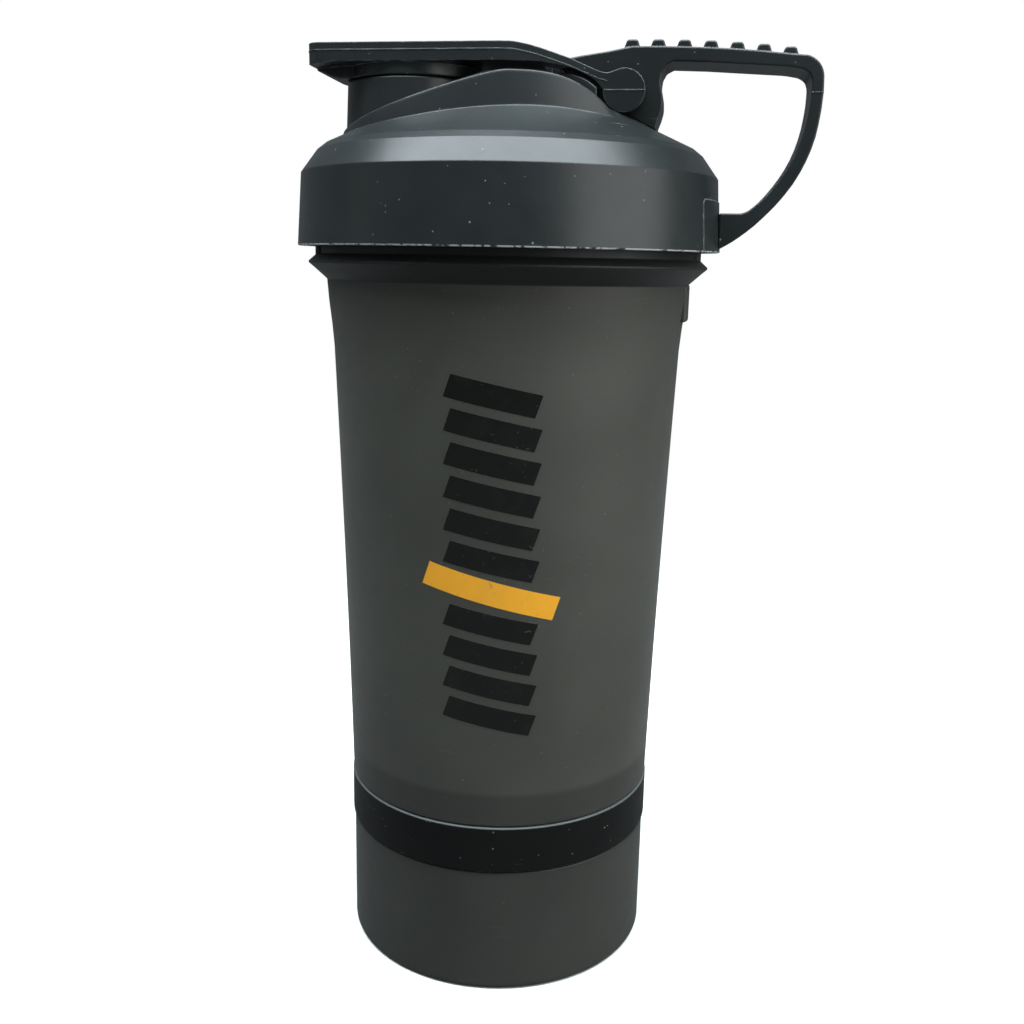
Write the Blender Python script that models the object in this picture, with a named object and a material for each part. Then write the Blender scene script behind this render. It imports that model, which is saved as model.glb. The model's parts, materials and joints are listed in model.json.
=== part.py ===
"""Shaker bottle with a screw lid, a flip cap over the spout, a carry loop and a screw-on storage jar.

The origin is on the bottle's axis, in the plane that the jar stands on. +Z is up, and +X points towards
the carry loop. All lengths are in metres. Every piece is modelled where it sits in the closed bottle.
"""

from math import cos, hypot, pi, radians, sin, tau

import bmesh
import bpy
from mathutils import Vector

# ---------------------------------------------------------------- driving dimensions
SIDES = 48  # flats round each turned piece
GAP = 0.0003  # between neighbouring pieces

BASE_RADIUS = 0.0363  # storage jar, outside
COLLAR_RADIUS = 0.0367
COLLAR_BOTTOM = 0.0300
COLLAR_TOP = 0.0408
CUP_BASE_RADIUS = 0.0365
CUP_MOUTH_RADIUS = 0.0404  # just under the drip flange
CUP_FLARE = 0.0008  # extra widening under the drip flange
FLARE_BOTTOM = 0.1440
CUP_WAIST = 0.0003  # how far the cup's side bows inwards halfway up
WALL = 0.0019

CUP_BOTTOM = COLLAR_TOP + GAP
CUP_FLOOR = 0.0480
FLANGE_UNDERSIDE = 0.1592
FLANGE_TOP = 0.1631
FLANGE_RADIUS = 0.0452
NECK_RADIUS = 0.0431
NECK_TOP = 0.1805

SKIRT_BOTTOM = 0.1663
SKIRT_TOP = 0.1819
SKIRT_RADIUS = 0.0475  # at the skirt's bottom edge
SHOULDER_RADIUS = 0.0465  # at the skirt's top edge
CHAMFER_TOP_RADIUS = 0.0430
CHAMFER_TOP = 0.1866
DOME_EDGE_RADIUS = 0.0412
DOME_EDGE_HEIGHT = 0.1880
DOME_SLOPE = 0.46  # rise over run of the dome
DOME_TOP_RADIUS = 0.0200  # level inside this, under the hump

SPOUT_X = -0.0219
SPOUT_RADIUS = 0.0150
SPOUT_BORE = 0.0122
SPOUT_SHOULDER = 0.2018  # where the flip cap's shroud meets the spout
SPOUT_TOP = 0.2036

HINGE_X = 0.0257
HINGE_Z = 0.1993
BARREL_RADIUS = 0.0045
TRUNNION_RADIUS = 0.0016

PLATE_TOP = 0.2085
PLATE_BOTTOM = 0.2047
PLATE_HALF_WIDTH = 0.0156
ARM_INNER = 0.0068
ARM_OUTER = 0.0110
TAB_END = -0.0424

LOOP_HALF_WIDTH = 0.0064
BAR_TOP = 0.2088  # over the hinge
BAR_THICKNESS = 0.0030
BAR_END_X = 0.0598
RIDGE_COUNT = 7
RIDGE_FIRST_X = 0.0268
RIDGE_PITCH = 0.0055
RIDGE_HEIGHT = 0.0014
RIDGE_HALF_BASE = 0.0017
RIDGE_HALF_TOP = 0.0009

LID_LEAD = 0.009  # rise per turn: two starts, 4.5 mm apart
JAR_LEAD = 0.006  # rise per turn: two starts, 3 mm apart
THREAD_STARTS = 2

COLOURS = {
    "smoke_plastic": ((0.075, 0.080, 0.082), 0.42),
    "lid_plastic": ((0.030, 0.036, 0.038), 0.35),
    "black_plastic": ((0.012, 0.013, 0.014), 0.38),
    "seal_silicone": ((0.30, 0.31, 0.32), 0.60),
}


# ---------------------------------------------------------------- tools
def clear_scene():
    for item in list(bpy.data.objects):
        bpy.data.objects.remove(item, do_unlink=True)


def plastic(name):
    """The named plastic, made the first time that a piece asks for it."""
    if name in bpy.data.materials:
        return bpy.data.materials[name]
    colour, roughness = COLOURS[name]
    material = bpy.data.materials.new(name)
    material.use_nodes = True
    shader = material.node_tree.nodes["Principled BSDF"]
    shader.inputs["Base Color"].default_value = (*colour, 1)
    shader.inputs["Roughness"].default_value = roughness
    shader.inputs["Metallic"].default_value = 0
    return material


def object_from(mesh_builder, name):
    """Turns a bmesh into an object with its faces pointing out."""
    bmesh.ops.recalc_face_normals(mesh_builder, faces=mesh_builder.faces)
    mesh = bpy.data.meshes.new(name)
    mesh_builder.to_mesh(mesh)
    mesh_builder.free()
    made = bpy.data.objects.new(name, mesh)
    bpy.context.scene.collection.objects.link(made)
    return made


def turned(name, profile, sides=SIDES, centre=(0, 0)):
    """A solid turned about a vertical axis. The profile is a closed outline of (radius, height) points.

    A piece off the bottle's axis starts half a flat round, so that its edges keep clear of the XZ plane.
    """
    first_angle = 0 if centre == (0, 0) else pi / sides
    build = bmesh.new()
    rings = []
    for radius, height in profile:
        if radius == 0:
            rings.append([build.verts.new((centre[0], centre[1], height))] * sides)
            continue
        ring = []
        for step in range(sides):
            angle = first_angle + tau * step / sides
            ring.append(build.verts.new(
                (centre[0] + radius * cos(angle), centre[1] + radius * sin(angle), height)))
        rings.append(ring)
    for lower, upper in zip(rings, rings[1:] + rings[:1]):
        for step in range(sides):
            after = (step + 1) % sides
            corners = [lower[step], lower[after], upper[after], upper[step]]
            corners = list(dict.fromkeys(corners))
            if len(corners) > 2:
                build.faces.new(corners)
    return object_from(build, name)


def prism(name, outline, low, high):
    """An outline of (x, z) points, extruded along Y from low to high."""
    build = bmesh.new()
    near = [build.verts.new((x, low, z)) for x, z in outline]
    far = [build.verts.new((x, high, z)) for x, z in outline]
    build.faces.new(near)
    build.faces.new(far[::-1])
    for here in range(len(outline)):
        after = (here + 1) % len(outline)
        build.faces.new((near[here], near[after], far[after], far[here]))
    return object_from(build, name)


def slab(name, outline, low, high):
    """An outline of (x, y) points, extruded along Z from low to high."""
    build = bmesh.new()
    bottom = [build.verts.new((x, y, low)) for x, y in outline]
    top = [build.verts.new((x, y, high)) for x, y in outline]
    build.faces.new(bottom)
    build.faces.new(top[::-1])
    for here in range(len(outline)):
        after = (here + 1) % len(outline)
        build.faces.new((bottom[here], bottom[after], top[after], top[here]))
    return object_from(build, name)


def block(name, low, high):
    """A box between two opposite corners."""
    corners = ((low[0], low[1]), (high[0], low[1]), (high[0], high[1]), (low[0], high[1]))
    return slab(name, corners, low[2], high[2])


def arc(centre, radius, start, end, steps):
    """Points on an arc, from one angle in degrees to another, both ends included."""
    angles = [radians(start + (end - start) * step / steps) for step in range(steps + 1)]
    return [(centre[0] + radius * cos(a), centre[1] + radius * sin(a)) for a in angles]


def cross_pin(name, radius, low, high, sides=24):
    """A cylinder along Y, on the hinge's axis."""
    return prism(name, arc((HINGE_X, HINGE_Z), radius, 0, 360 - 360 / sides, sides - 1), low, high)


def combine(target, tool, operation):
    """Joins, cuts or trims the target with the tool, and hides the tool."""
    modifier = target.modifiers.new(tool.name, "BOOLEAN")
    modifier.operation = operation
    modifier.solver = "EXACT"
    modifier.object = tool
    tool.hide_render = True
    tool.display_type = "WIRE"


def helical_ridge(name, root, crest, start_angle, start_height, turns, lead):
    """One thread start. The root is sunk in the wall, and the crest sinks away at both ends."""
    root_half_width = 0.16 * lead / THREAD_STARTS
    crest_half_width = 0.09 * lead / THREAD_STARTS
    fade_steps = 3
    steps = round(turns * SIDES)
    build = bmesh.new()
    sections = []
    for step in range(steps + 1):
        angle = start_angle + tau * (step + 0.5) / SIDES
        height = start_height + lead * step / SIDES
        fade = min(1, step / fade_steps, (steps - step) / fade_steps)
        reach = root + (crest - root) * (0.25 + 0.75 * fade)
        section = []
        for radius, offset in (
            (root, -root_half_width),
            (reach, -crest_half_width),
            (reach, crest_half_width),
            (root, root_half_width),
        ):
            section.append(build.verts.new(
                (radius * cos(angle), radius * sin(angle), height + offset)))
        sections.append(section)
    for before, after in zip(sections, sections[1:]):
        for corner in range(4):
            following = (corner + 1) % 4
            build.faces.new((before[corner], before[following], after[following], after[corner]))
    build.faces.new(sections[0][::-1])
    build.faces.new(sections[-1])
    return object_from(build, name)


def add_thread(target, root, crest, start_height, turns, lead, turned_by=0):
    for start in range(THREAD_STARTS):
        ridge = helical_ridge(
            f"{target.name}_thread_{start}", root, crest,
            turned_by + tau * start / THREAD_STARTS, start_height, turns, lead)
        combine(target, ridge, "UNION")


def finish_piece(piece, material):
    piece.data.materials.append(plastic(material))
    piece.data.shade_smooth()
    piece.data.set_sharp_from_angle(angle=radians(35))


# ---------------------------------------------------------------- storage jar and its seal
JAR_NECK_RADIUS = 0.0330
JAR_NECK_BORE = 0.0310
JAR_NECK_TOP = 0.0395
JAR_SHOULDER = COLLAR_BOTTOM - 0.0004
JAR_INNER_RADIUS = BASE_RADIUS - WALL
JAR_FLOOR = 0.0022
JAR_THREAD_ROOT = JAR_NECK_RADIUS - 0.0006
JAR_THREAD_CREST = JAR_NECK_RADIUS + 0.0011
JAR_THREAD_START = 0.0315


def make_storage_jar():
    foot = arc((BASE_RADIUS - 0.0013, 0.0013), 0.0013, -90, 0, 3)
    outside = [(0, 0), (0.0290, 0), (0.0295, 0.0006), (0.0315, 0.0006), (0.0320, 0)] + foot
    neck = [
        (BASE_RADIUS, JAR_SHOULDER - 0.0004),
        (BASE_RADIUS - 0.0004, JAR_SHOULDER),
        (JAR_NECK_RADIUS, JAR_SHOULDER),
        (JAR_NECK_RADIUS, JAR_NECK_TOP),
        (JAR_NECK_BORE, JAR_NECK_TOP),
    ]
    inside = [
        (JAR_NECK_BORE, JAR_SHOULDER - 0.0010),
        (JAR_INNER_RADIUS, JAR_SHOULDER - 0.0036),
        (JAR_INNER_RADIUS, JAR_FLOOR + 0.0020),
        (JAR_INNER_RADIUS - 0.0020, JAR_FLOOR),
        (0, JAR_FLOOR),
    ]
    jar = turned("storage_jar", outside + neck + inside)
    add_thread(jar, JAR_THREAD_ROOT, JAR_THREAD_CREST, JAR_THREAD_START, 0.9, JAR_LEAD)
    finish_piece(jar, "smoke_plastic")


def make_storage_seal():
    low = JAR_NECK_TOP + GAP
    seal = turned("storage_seal", [
        (0.0311, low), (0.0329, low), (0.0329, low + 0.0012), (0.0311, low + 0.0012)])
    finish_piece(seal, "seal_silicone")


# ---------------------------------------------------------------- connector collar
COLLAR_WEB_BOTTOM = JAR_NECK_TOP + GAP + 0.0012 + GAP
COLLAR_WEB_TOP = COLLAR_WEB_BOTTOM + 0.0018
COLLAR_BORE = 0.0345
COLLAR_SLEEVE_RADIUS = 0.0340
COLLAR_SLEEVE_TOP = 0.0466
SNAP_HEIGHT = 0.0448
SNAP_DEPTH = 0.0005


def make_connector_collar():
    collar = turned("connector_collar", [
        (COLLAR_BORE, COLLAR_BOTTOM),
        (COLLAR_RADIUS - 0.0003, COLLAR_BOTTOM),
        (COLLAR_RADIUS, COLLAR_BOTTOM + 0.0003),
        (COLLAR_RADIUS, COLLAR_TOP - 0.0003),
        (COLLAR_RADIUS - 0.0003, COLLAR_TOP),
        (COLLAR_SLEEVE_RADIUS, COLLAR_TOP),
        (COLLAR_SLEEVE_RADIUS, SNAP_HEIGHT - 0.0008),
        (COLLAR_SLEEVE_RADIUS + SNAP_DEPTH, SNAP_HEIGHT),
        (COLLAR_SLEEVE_RADIUS, SNAP_HEIGHT + 0.0008),
        (COLLAR_SLEEVE_RADIUS - 0.0002, COLLAR_SLEEVE_TOP),
        (COLLAR_SLEEVE_RADIUS - 0.0018, COLLAR_SLEEVE_TOP),
        (COLLAR_SLEEVE_RADIUS - 0.0018, COLLAR_WEB_TOP),
        (0.0270, COLLAR_WEB_TOP),
        (0.0270, COLLAR_WEB_BOTTOM),
        (COLLAR_BORE, COLLAR_WEB_BOTTOM),
    ])
    add_thread(collar, COLLAR_BORE + 0.0006, COLLAR_BORE - 0.0012,
               JAR_THREAD_START + JAR_LEAD / 4 - 0.0002, 0.85, JAR_LEAD)
    finish_piece(collar, "black_plastic")


# ---------------------------------------------------------------- cup
CUP_BASE_BORE = 0.0345
LEDGE_HEIGHT = 0.1629
NECK_BORE = NECK_RADIUS - WALL
NECK_THREAD_START = 0.1678
NECK_THREAD_ROOT = NECK_RADIUS - 0.0007
NECK_THREAD_CREST = NECK_RADIUS + 0.0012
CUP_SIDE_STEPS = 8


def cup_side_radius(height):
    """The cup widens upwards, with a slight waist, and flares under the flange."""
    along = (height - CUP_BOTTOM) / (FLANGE_UNDERSIDE - CUP_BOTTOM)
    bow = CUP_WAIST * 4 * along * (1 - along)
    flare = min(1, max(0, (height - FLARE_BOTTOM) / (FLANGE_UNDERSIDE - FLARE_BOTTOM)))
    flare = CUP_FLARE * flare * flare * (3 - 2 * flare)
    return CUP_BASE_RADIUS + (CUP_MOUTH_RADIUS - CUP_BASE_RADIUS) * along - bow + flare


def cup_side(low, high, inset):
    heights = [low + (high - low) * step / CUP_SIDE_STEPS for step in range(CUP_SIDE_STEPS + 1)]
    return [(cup_side_radius(height) - inset, height) for height in heights]


def make_cup():
    flange = [
        (FLANGE_RADIUS - 0.0004, FLANGE_TOP - 0.0009),
        (FLANGE_RADIUS, FLANGE_TOP - 0.0004),
        (FLANGE_RADIUS - 0.0002, FLANGE_TOP),
        (NECK_RADIUS + 0.0005, FLANGE_TOP + 0.0014),
        (NECK_RADIUS, FLANGE_TOP + 0.0014),
    ]
    rim = [
        (NECK_RADIUS, NECK_TOP - 0.0004),
        (NECK_RADIUS - 0.0004, NECK_TOP),
        (NECK_BORE + 0.0002, NECK_TOP),
        (NECK_BORE, NECK_TOP - 0.0003),
        (NECK_BORE, LEDGE_HEIGHT),
    ]
    inside = cup_side(0.1612, CUP_FLOOR + 0.0070, WALL)
    bowl = [
        (cup_side_radius(CUP_FLOOR) - WALL - 0.0010, CUP_FLOOR + 0.0040),
        (cup_side_radius(CUP_FLOOR) - WALL - 0.0050, CUP_FLOOR + 0.0020),
        (0, CUP_FLOOR + 0.0020),
    ]
    base = [
        (0, CUP_FLOOR),
        (CUP_BASE_BORE - 0.0010, CUP_FLOOR),
        (CUP_BASE_BORE, CUP_FLOOR - 0.0010),
        (CUP_BASE_BORE, SNAP_HEIGHT + 0.0008),
        (CUP_BASE_BORE + SNAP_DEPTH, SNAP_HEIGHT),
        (CUP_BASE_BORE, SNAP_HEIGHT - 0.0008),
        (CUP_BASE_BORE, CUP_BOTTOM),
    ]
    cup = turned("cup", cup_side(CUP_BOTTOM, FLANGE_UNDERSIDE, 0) + flange + rim + inside + bowl + base)
    add_thread(cup, NECK_THREAD_ROOT, NECK_THREAD_CREST, NECK_THREAD_START, 0.95, LID_LEAD)
    combine(cup, make_cup_lug(), "UNION")
    finish_piece(cup, "smoke_plastic")


def make_cup_lug():
    """The raised lug below the flange, on the carry loop's side."""
    reach, root = 0.0415, 0.0390
    bottom, top = 0.1512, 0.1594
    half_angle = 10
    outline = arc((0, 0), reach, -half_angle, half_angle, 4) + arc((0, 0), root, half_angle, -half_angle, 4)
    return slab("cup_lug", outline, bottom, top)


# ---------------------------------------------------------------- mixing grid
GRID_RIM_RADIUS = NECK_BORE - 0.0004
GRID_BOTTOM = LEDGE_HEIGHT + GAP
GRID_SPOKES = 12


def ring(name, inner, outer, low, high):
    return turned(name, [(inner, low), (outer, low), (outer, high), (inner, high)])


def make_mixing_grid():
    grid = ring("mixing_grid", 0.0388, GRID_RIM_RADIUS, GRID_BOTTOM, GRID_BOTTOM + 0.0022)
    for number, inner in enumerate((0.0125, 0.0255)):
        hoop = ring(f"grid_hoop_{number}", inner, inner + 0.0016, GRID_BOTTOM + 0.0001, GRID_BOTTOM + 0.0015)
        combine(grid, hoop, "UNION")
    for number in range(GRID_SPOKES // 2):
        spoke = block(f"grid_spoke_{number}", (-0.0394, -0.0007, GRID_BOTTOM + 0.0003),
                      (0.0394, 0.0007, GRID_BOTTOM + 0.0013))
        spoke.rotation_euler.z = tau * (number + 0.5) / GRID_SPOKES
        combine(grid, spoke, "UNION")
    finish_piece(grid, "black_plastic")


# ---------------------------------------------------------------- lid and its seal
LID_BORE = 0.0448
LID_CEILING = 0.1824
LIP_OUTER = 0.0404
LIP_INNER = 0.0388
LIP_BOTTOM = 0.1775
HUMP_POINTS = 48
DECK_HEIGHT = 0.2028
RAMP_SLOPE = 0.394  # the deck falls towards the spout's far side
RAMP_AT_AXIS = 0.2045
ARCH_X = 0.0045  # the hump's side wall is highest here
ARCH_TOP = 0.2023
ARCH_LEAN = -0.065
ARCH_SPREAD = 0.355
ARCH_ROUND = 0.003
ARCH_END = 950  # cubic fall towards the hinge
HUMP_X = -0.0010  # the middle of the hump's foot
HUMP_HALF_LENGTH = 0.0365
HUMP_HALF_WIDTH = 0.0310
HUMP_TAPER = 0.0045
DECK_X = -0.0120
DECK_HALF_LENGTH = 0.0245
DECK_HALF_WIDTH = 0.0145
WALL_SHARE_AT_ENDS = 0.02  # where the side wall starts, as a share of the way from foot to deck
WALL_SHARE_AT_SIDES = 0.125
WALL_LEAN = 0.035  # how far the wall leans in, as a share of the way to the deck
SPINE_HALF_WIDTH = 0.0113
PAD_TOP = 0.1772


def dome_height(radius):
    return DOME_EDGE_HEIGHT + (DOME_EDGE_RADIUS - radius) * DOME_SLOPE


def make_lid_seal():
    low = NECK_TOP + GAP
    seal = turned("lid_seal", [
        (0.0409, low), (0.0436, low), (0.0436, LID_CEILING - GAP), (0.0409, LID_CEILING - GAP)])
    finish_piece(seal, "seal_silicone")


def make_lid_shell():
    lid = turned("lid_shell", [
        (0, SKIRT_BOTTOM),
        (SKIRT_RADIUS, SKIRT_BOTTOM),
        (SHOULDER_RADIUS, SKIRT_TOP),
        (CHAMFER_TOP_RADIUS, CHAMFER_TOP),
        (DOME_EDGE_RADIUS, DOME_EDGE_HEIGHT),
        (DOME_TOP_RADIUS, dome_height(DOME_TOP_RADIUS)),
        (0, dome_height(DOME_TOP_RADIUS)),
    ])
    combine(lid, make_hump(), "UNION")
    combine(lid, make_spine(), "UNION")
    combine(lid, make_spout(), "UNION")
    combine(lid, make_foot_pad(), "UNION")
    combine(lid, make_lid_cavity(), "DIFFERENCE")
    bore = turned("spout_bore", [(0, 0.180), (SPOUT_BORE, 0.180), (SPOUT_BORE, 0.210), (0, 0.210)],
                  sides=32, centre=(SPOUT_X, 0))
    combine(lid, bore, "DIFFERENCE")
    combine(lid, make_lug_pocket(), "DIFFERENCE")
    relief = cross_pin("hinge_relief", BARREL_RADIUS + 0.0006, -ARM_OUTER - 0.0007, ARM_OUTER + 0.0007)
    combine(lid, relief, "DIFFERENCE")
    combine(lid, block("foot_pocket", (0.0461, -0.0043, 0.1692), (0.0500, 0.0043, 0.1745)), "DIFFERENCE")
    add_thread(lid, LID_BORE + 0.0006, LID_BORE - 0.0013,
               NECK_THREAD_START + LID_LEAD / 4, 0.75, LID_LEAD)
    finish_piece(lid, "lid_plastic")


def make_lid_cavity():
    """The room inside the lid, round the lip that fits in the cup's mouth."""
    return turned("lid_cavity", [
        (0, SKIRT_BOTTOM - 0.0020),
        (LID_BORE, SKIRT_BOTTOM - 0.0020),
        (LID_BORE, LID_CEILING - 0.0006),
        (LID_BORE - 0.0006, LID_CEILING),
        (LIP_OUTER, LID_CEILING),
        (LIP_OUTER, LIP_BOTTOM + 0.0003),
        (LIP_INNER, LIP_BOTTOM),
        (LIP_INNER, 0.1855),
        (0.0380, 0.1868),
        (0.0120, 0.1960),
        (0, 0.1965),
    ])


def arch_height(x):
    """The height of the top edge of the hump's side wall."""
    along = x - ARCH_X
    if along > 0:
        return ARCH_TOP - ARCH_SPREAD * ARCH_ROUND - ARCH_END * along ** 3
    return ARCH_TOP + ARCH_LEAN * along - ARCH_SPREAD * hypot(along, ARCH_ROUND)


def hump_ring(step):
    """Points from below the dome, over the foot, up the side wall and onto the deck."""
    angle = tau * step / HUMP_POINTS
    along, across = cos(angle), sin(angle)
    foot = Vector((HUMP_X + HUMP_HALF_LENGTH * along, (HUMP_HALF_WIDTH - HUMP_TAPER * along) * across, 0))
    foot.z = dome_height(max(DOME_TOP_RADIUS, foot.length)) - 0.0002
    deck = Vector((DECK_X + DECK_HALF_LENGTH * along, DECK_HALF_WIDTH * across, 0))
    deck.z = min(DECK_HEIGHT, RAMP_AT_AXIS + RAMP_SLOPE * deck.x)
    base_share = WALL_SHARE_AT_ENDS + WALL_SHARE_AT_SIDES * across * across
    base = foot.lerp(deck, base_share)
    top = foot.lerp(deck, base_share + WALL_LEAN)
    top.z = max(top.z, arch_height(top.x))
    return foot - Vector((0, 0, 0.0014)), foot, base, top, deck


def make_hump():
    """The raised deck between spout and hinge: steep sides that arch up under the cap, ramped at the spout."""
    build = bmesh.new()
    columns = [[build.verts.new(point) for point in hump_ring(step)] for step in range(HUMP_POINTS)]
    for here, after in zip(columns, columns[1:] + columns[:1]):
        for level in range(len(here) - 1):
            build.faces.new((here[level], after[level], after[level + 1], here[level + 1]))
    for level, height in ((0, dome_height(DOME_TOP_RADIUS) - 0.0060), (-1, DECK_HEIGHT)):
        middle = build.verts.new((DECK_X / 2, 0, height))
        for here, after in zip(columns, columns[1:] + columns[:1]):
            build.faces.new((here[level], after[level], middle))
    hump = object_from(build, "lid_hump")
    shroud_room = turned("shroud_room", [
        (0, SPOUT_SHOULDER - 0.0002), (SPOUT_RADIUS + 0.0006, SPOUT_SHOULDER - 0.0002),
        (SPOUT_RADIUS + 0.0006, 0.2100), (0, 0.2100)], sides=32, centre=(SPOUT_X, 0))
    combine(hump, shroud_room, "DIFFERENCE")
    return hump


def make_spine():
    """Carries the deck on under the flip cap's arms, as far as the hinge."""
    outline = [(-0.0060, 0.1900), (-0.0060, DECK_HEIGHT - 0.0001), (0.0140, DECK_HEIGHT - 0.0001),
               (0.0176, 0.2016), (0.0200, 0.1998), (0.0203, 0.1900)]
    return prism("lid_spine", outline, -SPINE_HALF_WIDTH, SPINE_HALF_WIDTH)


def make_spout():
    rim_radius = SPOUT_RADIUS - 0.0012
    return turned("spout_tube", [
        (0, 0.1870),
        (SPOUT_RADIUS + 0.0006, 0.1870),
        (SPOUT_RADIUS, SPOUT_SHOULDER),
        (rim_radius, SPOUT_SHOULDER),
        (rim_radius, SPOUT_TOP - 0.0004),
        (rim_radius - 0.0004, SPOUT_TOP),
        (0, SPOUT_TOP),
    ], sides=32, centre=(SPOUT_X, 0))


def make_foot_pad():
    """The slightly raised pad on the skirt that the carry loop's foot sits on."""
    half_angle = 22
    outline = (arc((0, 0), SKIRT_RADIUS + 0.0001, -half_angle, half_angle, 6)
               + arc((0, 0), SKIRT_RADIUS - 0.0016, half_angle, -half_angle, 6))
    return slab("foot_pad", outline, SKIRT_BOTTOM + 0.0001, PAD_TOP)


def make_lug_pocket():
    """The seat for the carry loop's lug, in the deck and the dome behind it."""
    outline = (
        (0.0163, 0.1994), (0.0330, 0.1908), (0.0332, 0.1924), (0.0344, 0.1942),
        (0.0344, 0.2150), (0.0080, 0.2150), (0.0080, 0.2030), (0.0149, 0.2010),
    )
    return prism("lug_pocket", outline, -LOOP_HALF_WIDTH - GAP, LOOP_HALF_WIDTH + GAP)


# ---------------------------------------------------------------- carry loop
STRAP_OUTSIDE = (  # outside of the bend, from the far end of the bar down to the skirt
    (0.0671, 0.1996), (0.0669, 0.1960), (0.0662, 0.1904), (0.0646, 0.1856),
    (0.0622, 0.1808), (0.0587, 0.1763), (0.0545, 0.1720), (0.0502, 0.1687), (0.0470, 0.1669),
)
STRAP_INSIDE = (  # from the skirt up to the underside of the bar
    (0.0470, 0.1747), (0.0524, 0.1747), (0.0558, 0.1775), (0.0587, 0.1811), (0.0611, 0.1848),
    (0.0629, 0.1889), (0.0640, 0.1933), (0.0646, 0.1982), (0.0646, 0.2016),
    (0.0641, 0.2031), (0.0626, 0.2040), (0.0596, 0.2045),
)
LUG_OUTLINE = (  # from the underside of the bar, round behind the hinge, to the bar's top
    (0.0341, 0.2049), (0.0333, 0.2034), (0.0331, 0.2012), (0.0337, 0.1990), (0.0338, 0.1968),
    (0.0333, 0.1948), (0.0327, 0.1932), (0.0326, 0.1915), (0.0168, 0.1996), (0.0155, 0.2014),
    (0.0105, 0.2052), (0.0105, 0.2060), (0.0160, 0.2070), (0.0215, 0.2078),
)
BAR_SPAN = (0.0356, 0.0430, 0.0500)  # where the underside of the bar runs along its top


def bar_top(x):
    """The bar bows down from the hinge to its far end."""
    along = x - RIDGE_FIRST_X
    return BAR_TOP - along * along * (1.05 + 15 * along)


def make_carry_loop():
    middle_x = (RIDGE_FIRST_X + BAR_END_X) / 2
    bar = [(x, bar_top(x)) for x in (RIDGE_FIRST_X, middle_x - 0.0040, middle_x + 0.0060, BAR_END_X)]
    bend = arc((0.0622, 0.2022), 0.0048, 75, 5, 4)
    bar_under = [(x, bar_top(x) - BAR_THICKNESS) for x in reversed(BAR_SPAN)]
    outline = bar + bend + list(STRAP_OUTSIDE + STRAP_INSIDE) + bar_under + list(LUG_OUTLINE)
    loop = prism("carry_loop", outline, -LOOP_HALF_WIDTH, LOOP_HALF_WIDTH)
    for number in range(RIDGE_COUNT):
        combine(loop, make_grip_ridge(number), "UNION")
    skirt_room = turned("skirt_room", [(0, 0.160), (SKIRT_RADIUS + 0.0004, 0.160),
                                       (SKIRT_RADIUS + 0.0004, 0.185), (0, 0.185)])
    combine(loop, skirt_room, "DIFFERENCE")
    combine(loop, block("foot_tongue", (0.0464, -0.0040, 0.1695), (0.0495, 0.0040, 0.1742)), "UNION")
    combine(loop, cross_pin("trunnion_hole", TRUNNION_RADIUS + 0.00006, -0.0100, 0.0100), "DIFFERENCE")
    finish_piece(loop, "lid_plastic")


def make_grip_ridge(number):
    """One of the round-topped ridges across the bar, sunk a little in it."""
    x = RIDGE_FIRST_X + RIDGE_PITCH * number
    top = bar_top(x) + RIDGE_HEIGHT
    outline = [
        (x - RIDGE_HALF_BASE, top - RIDGE_HEIGHT - 0.0005), (x - RIDGE_HALF_BASE, top - RIDGE_HEIGHT),
        (x - RIDGE_HALF_TOP, top - 0.0002), (x, top),
        (x + RIDGE_HALF_TOP, top - 0.0002), (x + RIDGE_HALF_BASE, top - RIDGE_HEIGHT),
        (x + RIDGE_HALF_BASE, top - RIDGE_HEIGHT - 0.0005),
    ]
    inset = 0.0002
    return prism(f"grip_ridge_{number}", outline, inset - LOOP_HALF_WIDTH, LOOP_HALF_WIDTH - inset)


# ---------------------------------------------------------------- flip cap and its plug
PLATE_INNER_END = 0.0082
SHROUD_INNER = SPOUT_RADIUS - 0.0012 + 0.0004
SHROUD_BOTTOM = SPOUT_SHOULDER + GAP
ARM_TOP = (  # from the level plate down to the barrel
    (0.0025, PLATE_TOP), (0.0056, 0.2080), (0.0084, 0.2073), (0.0140, 0.2056),
    (0.0176, 0.2042), (0.0200, 0.2032), (0.0220, 0.2027),
)
ARM_UNDERSIDE = (  # from the barrel up to the plate
    (0.0206, 0.2002), (0.0195, 0.2013), (0.0176, 0.2024), (0.0140, 0.2039), (0.0080, PLATE_BOTTOM),
)
WEDGE_HALF_WIDTH = 0.0095


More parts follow.
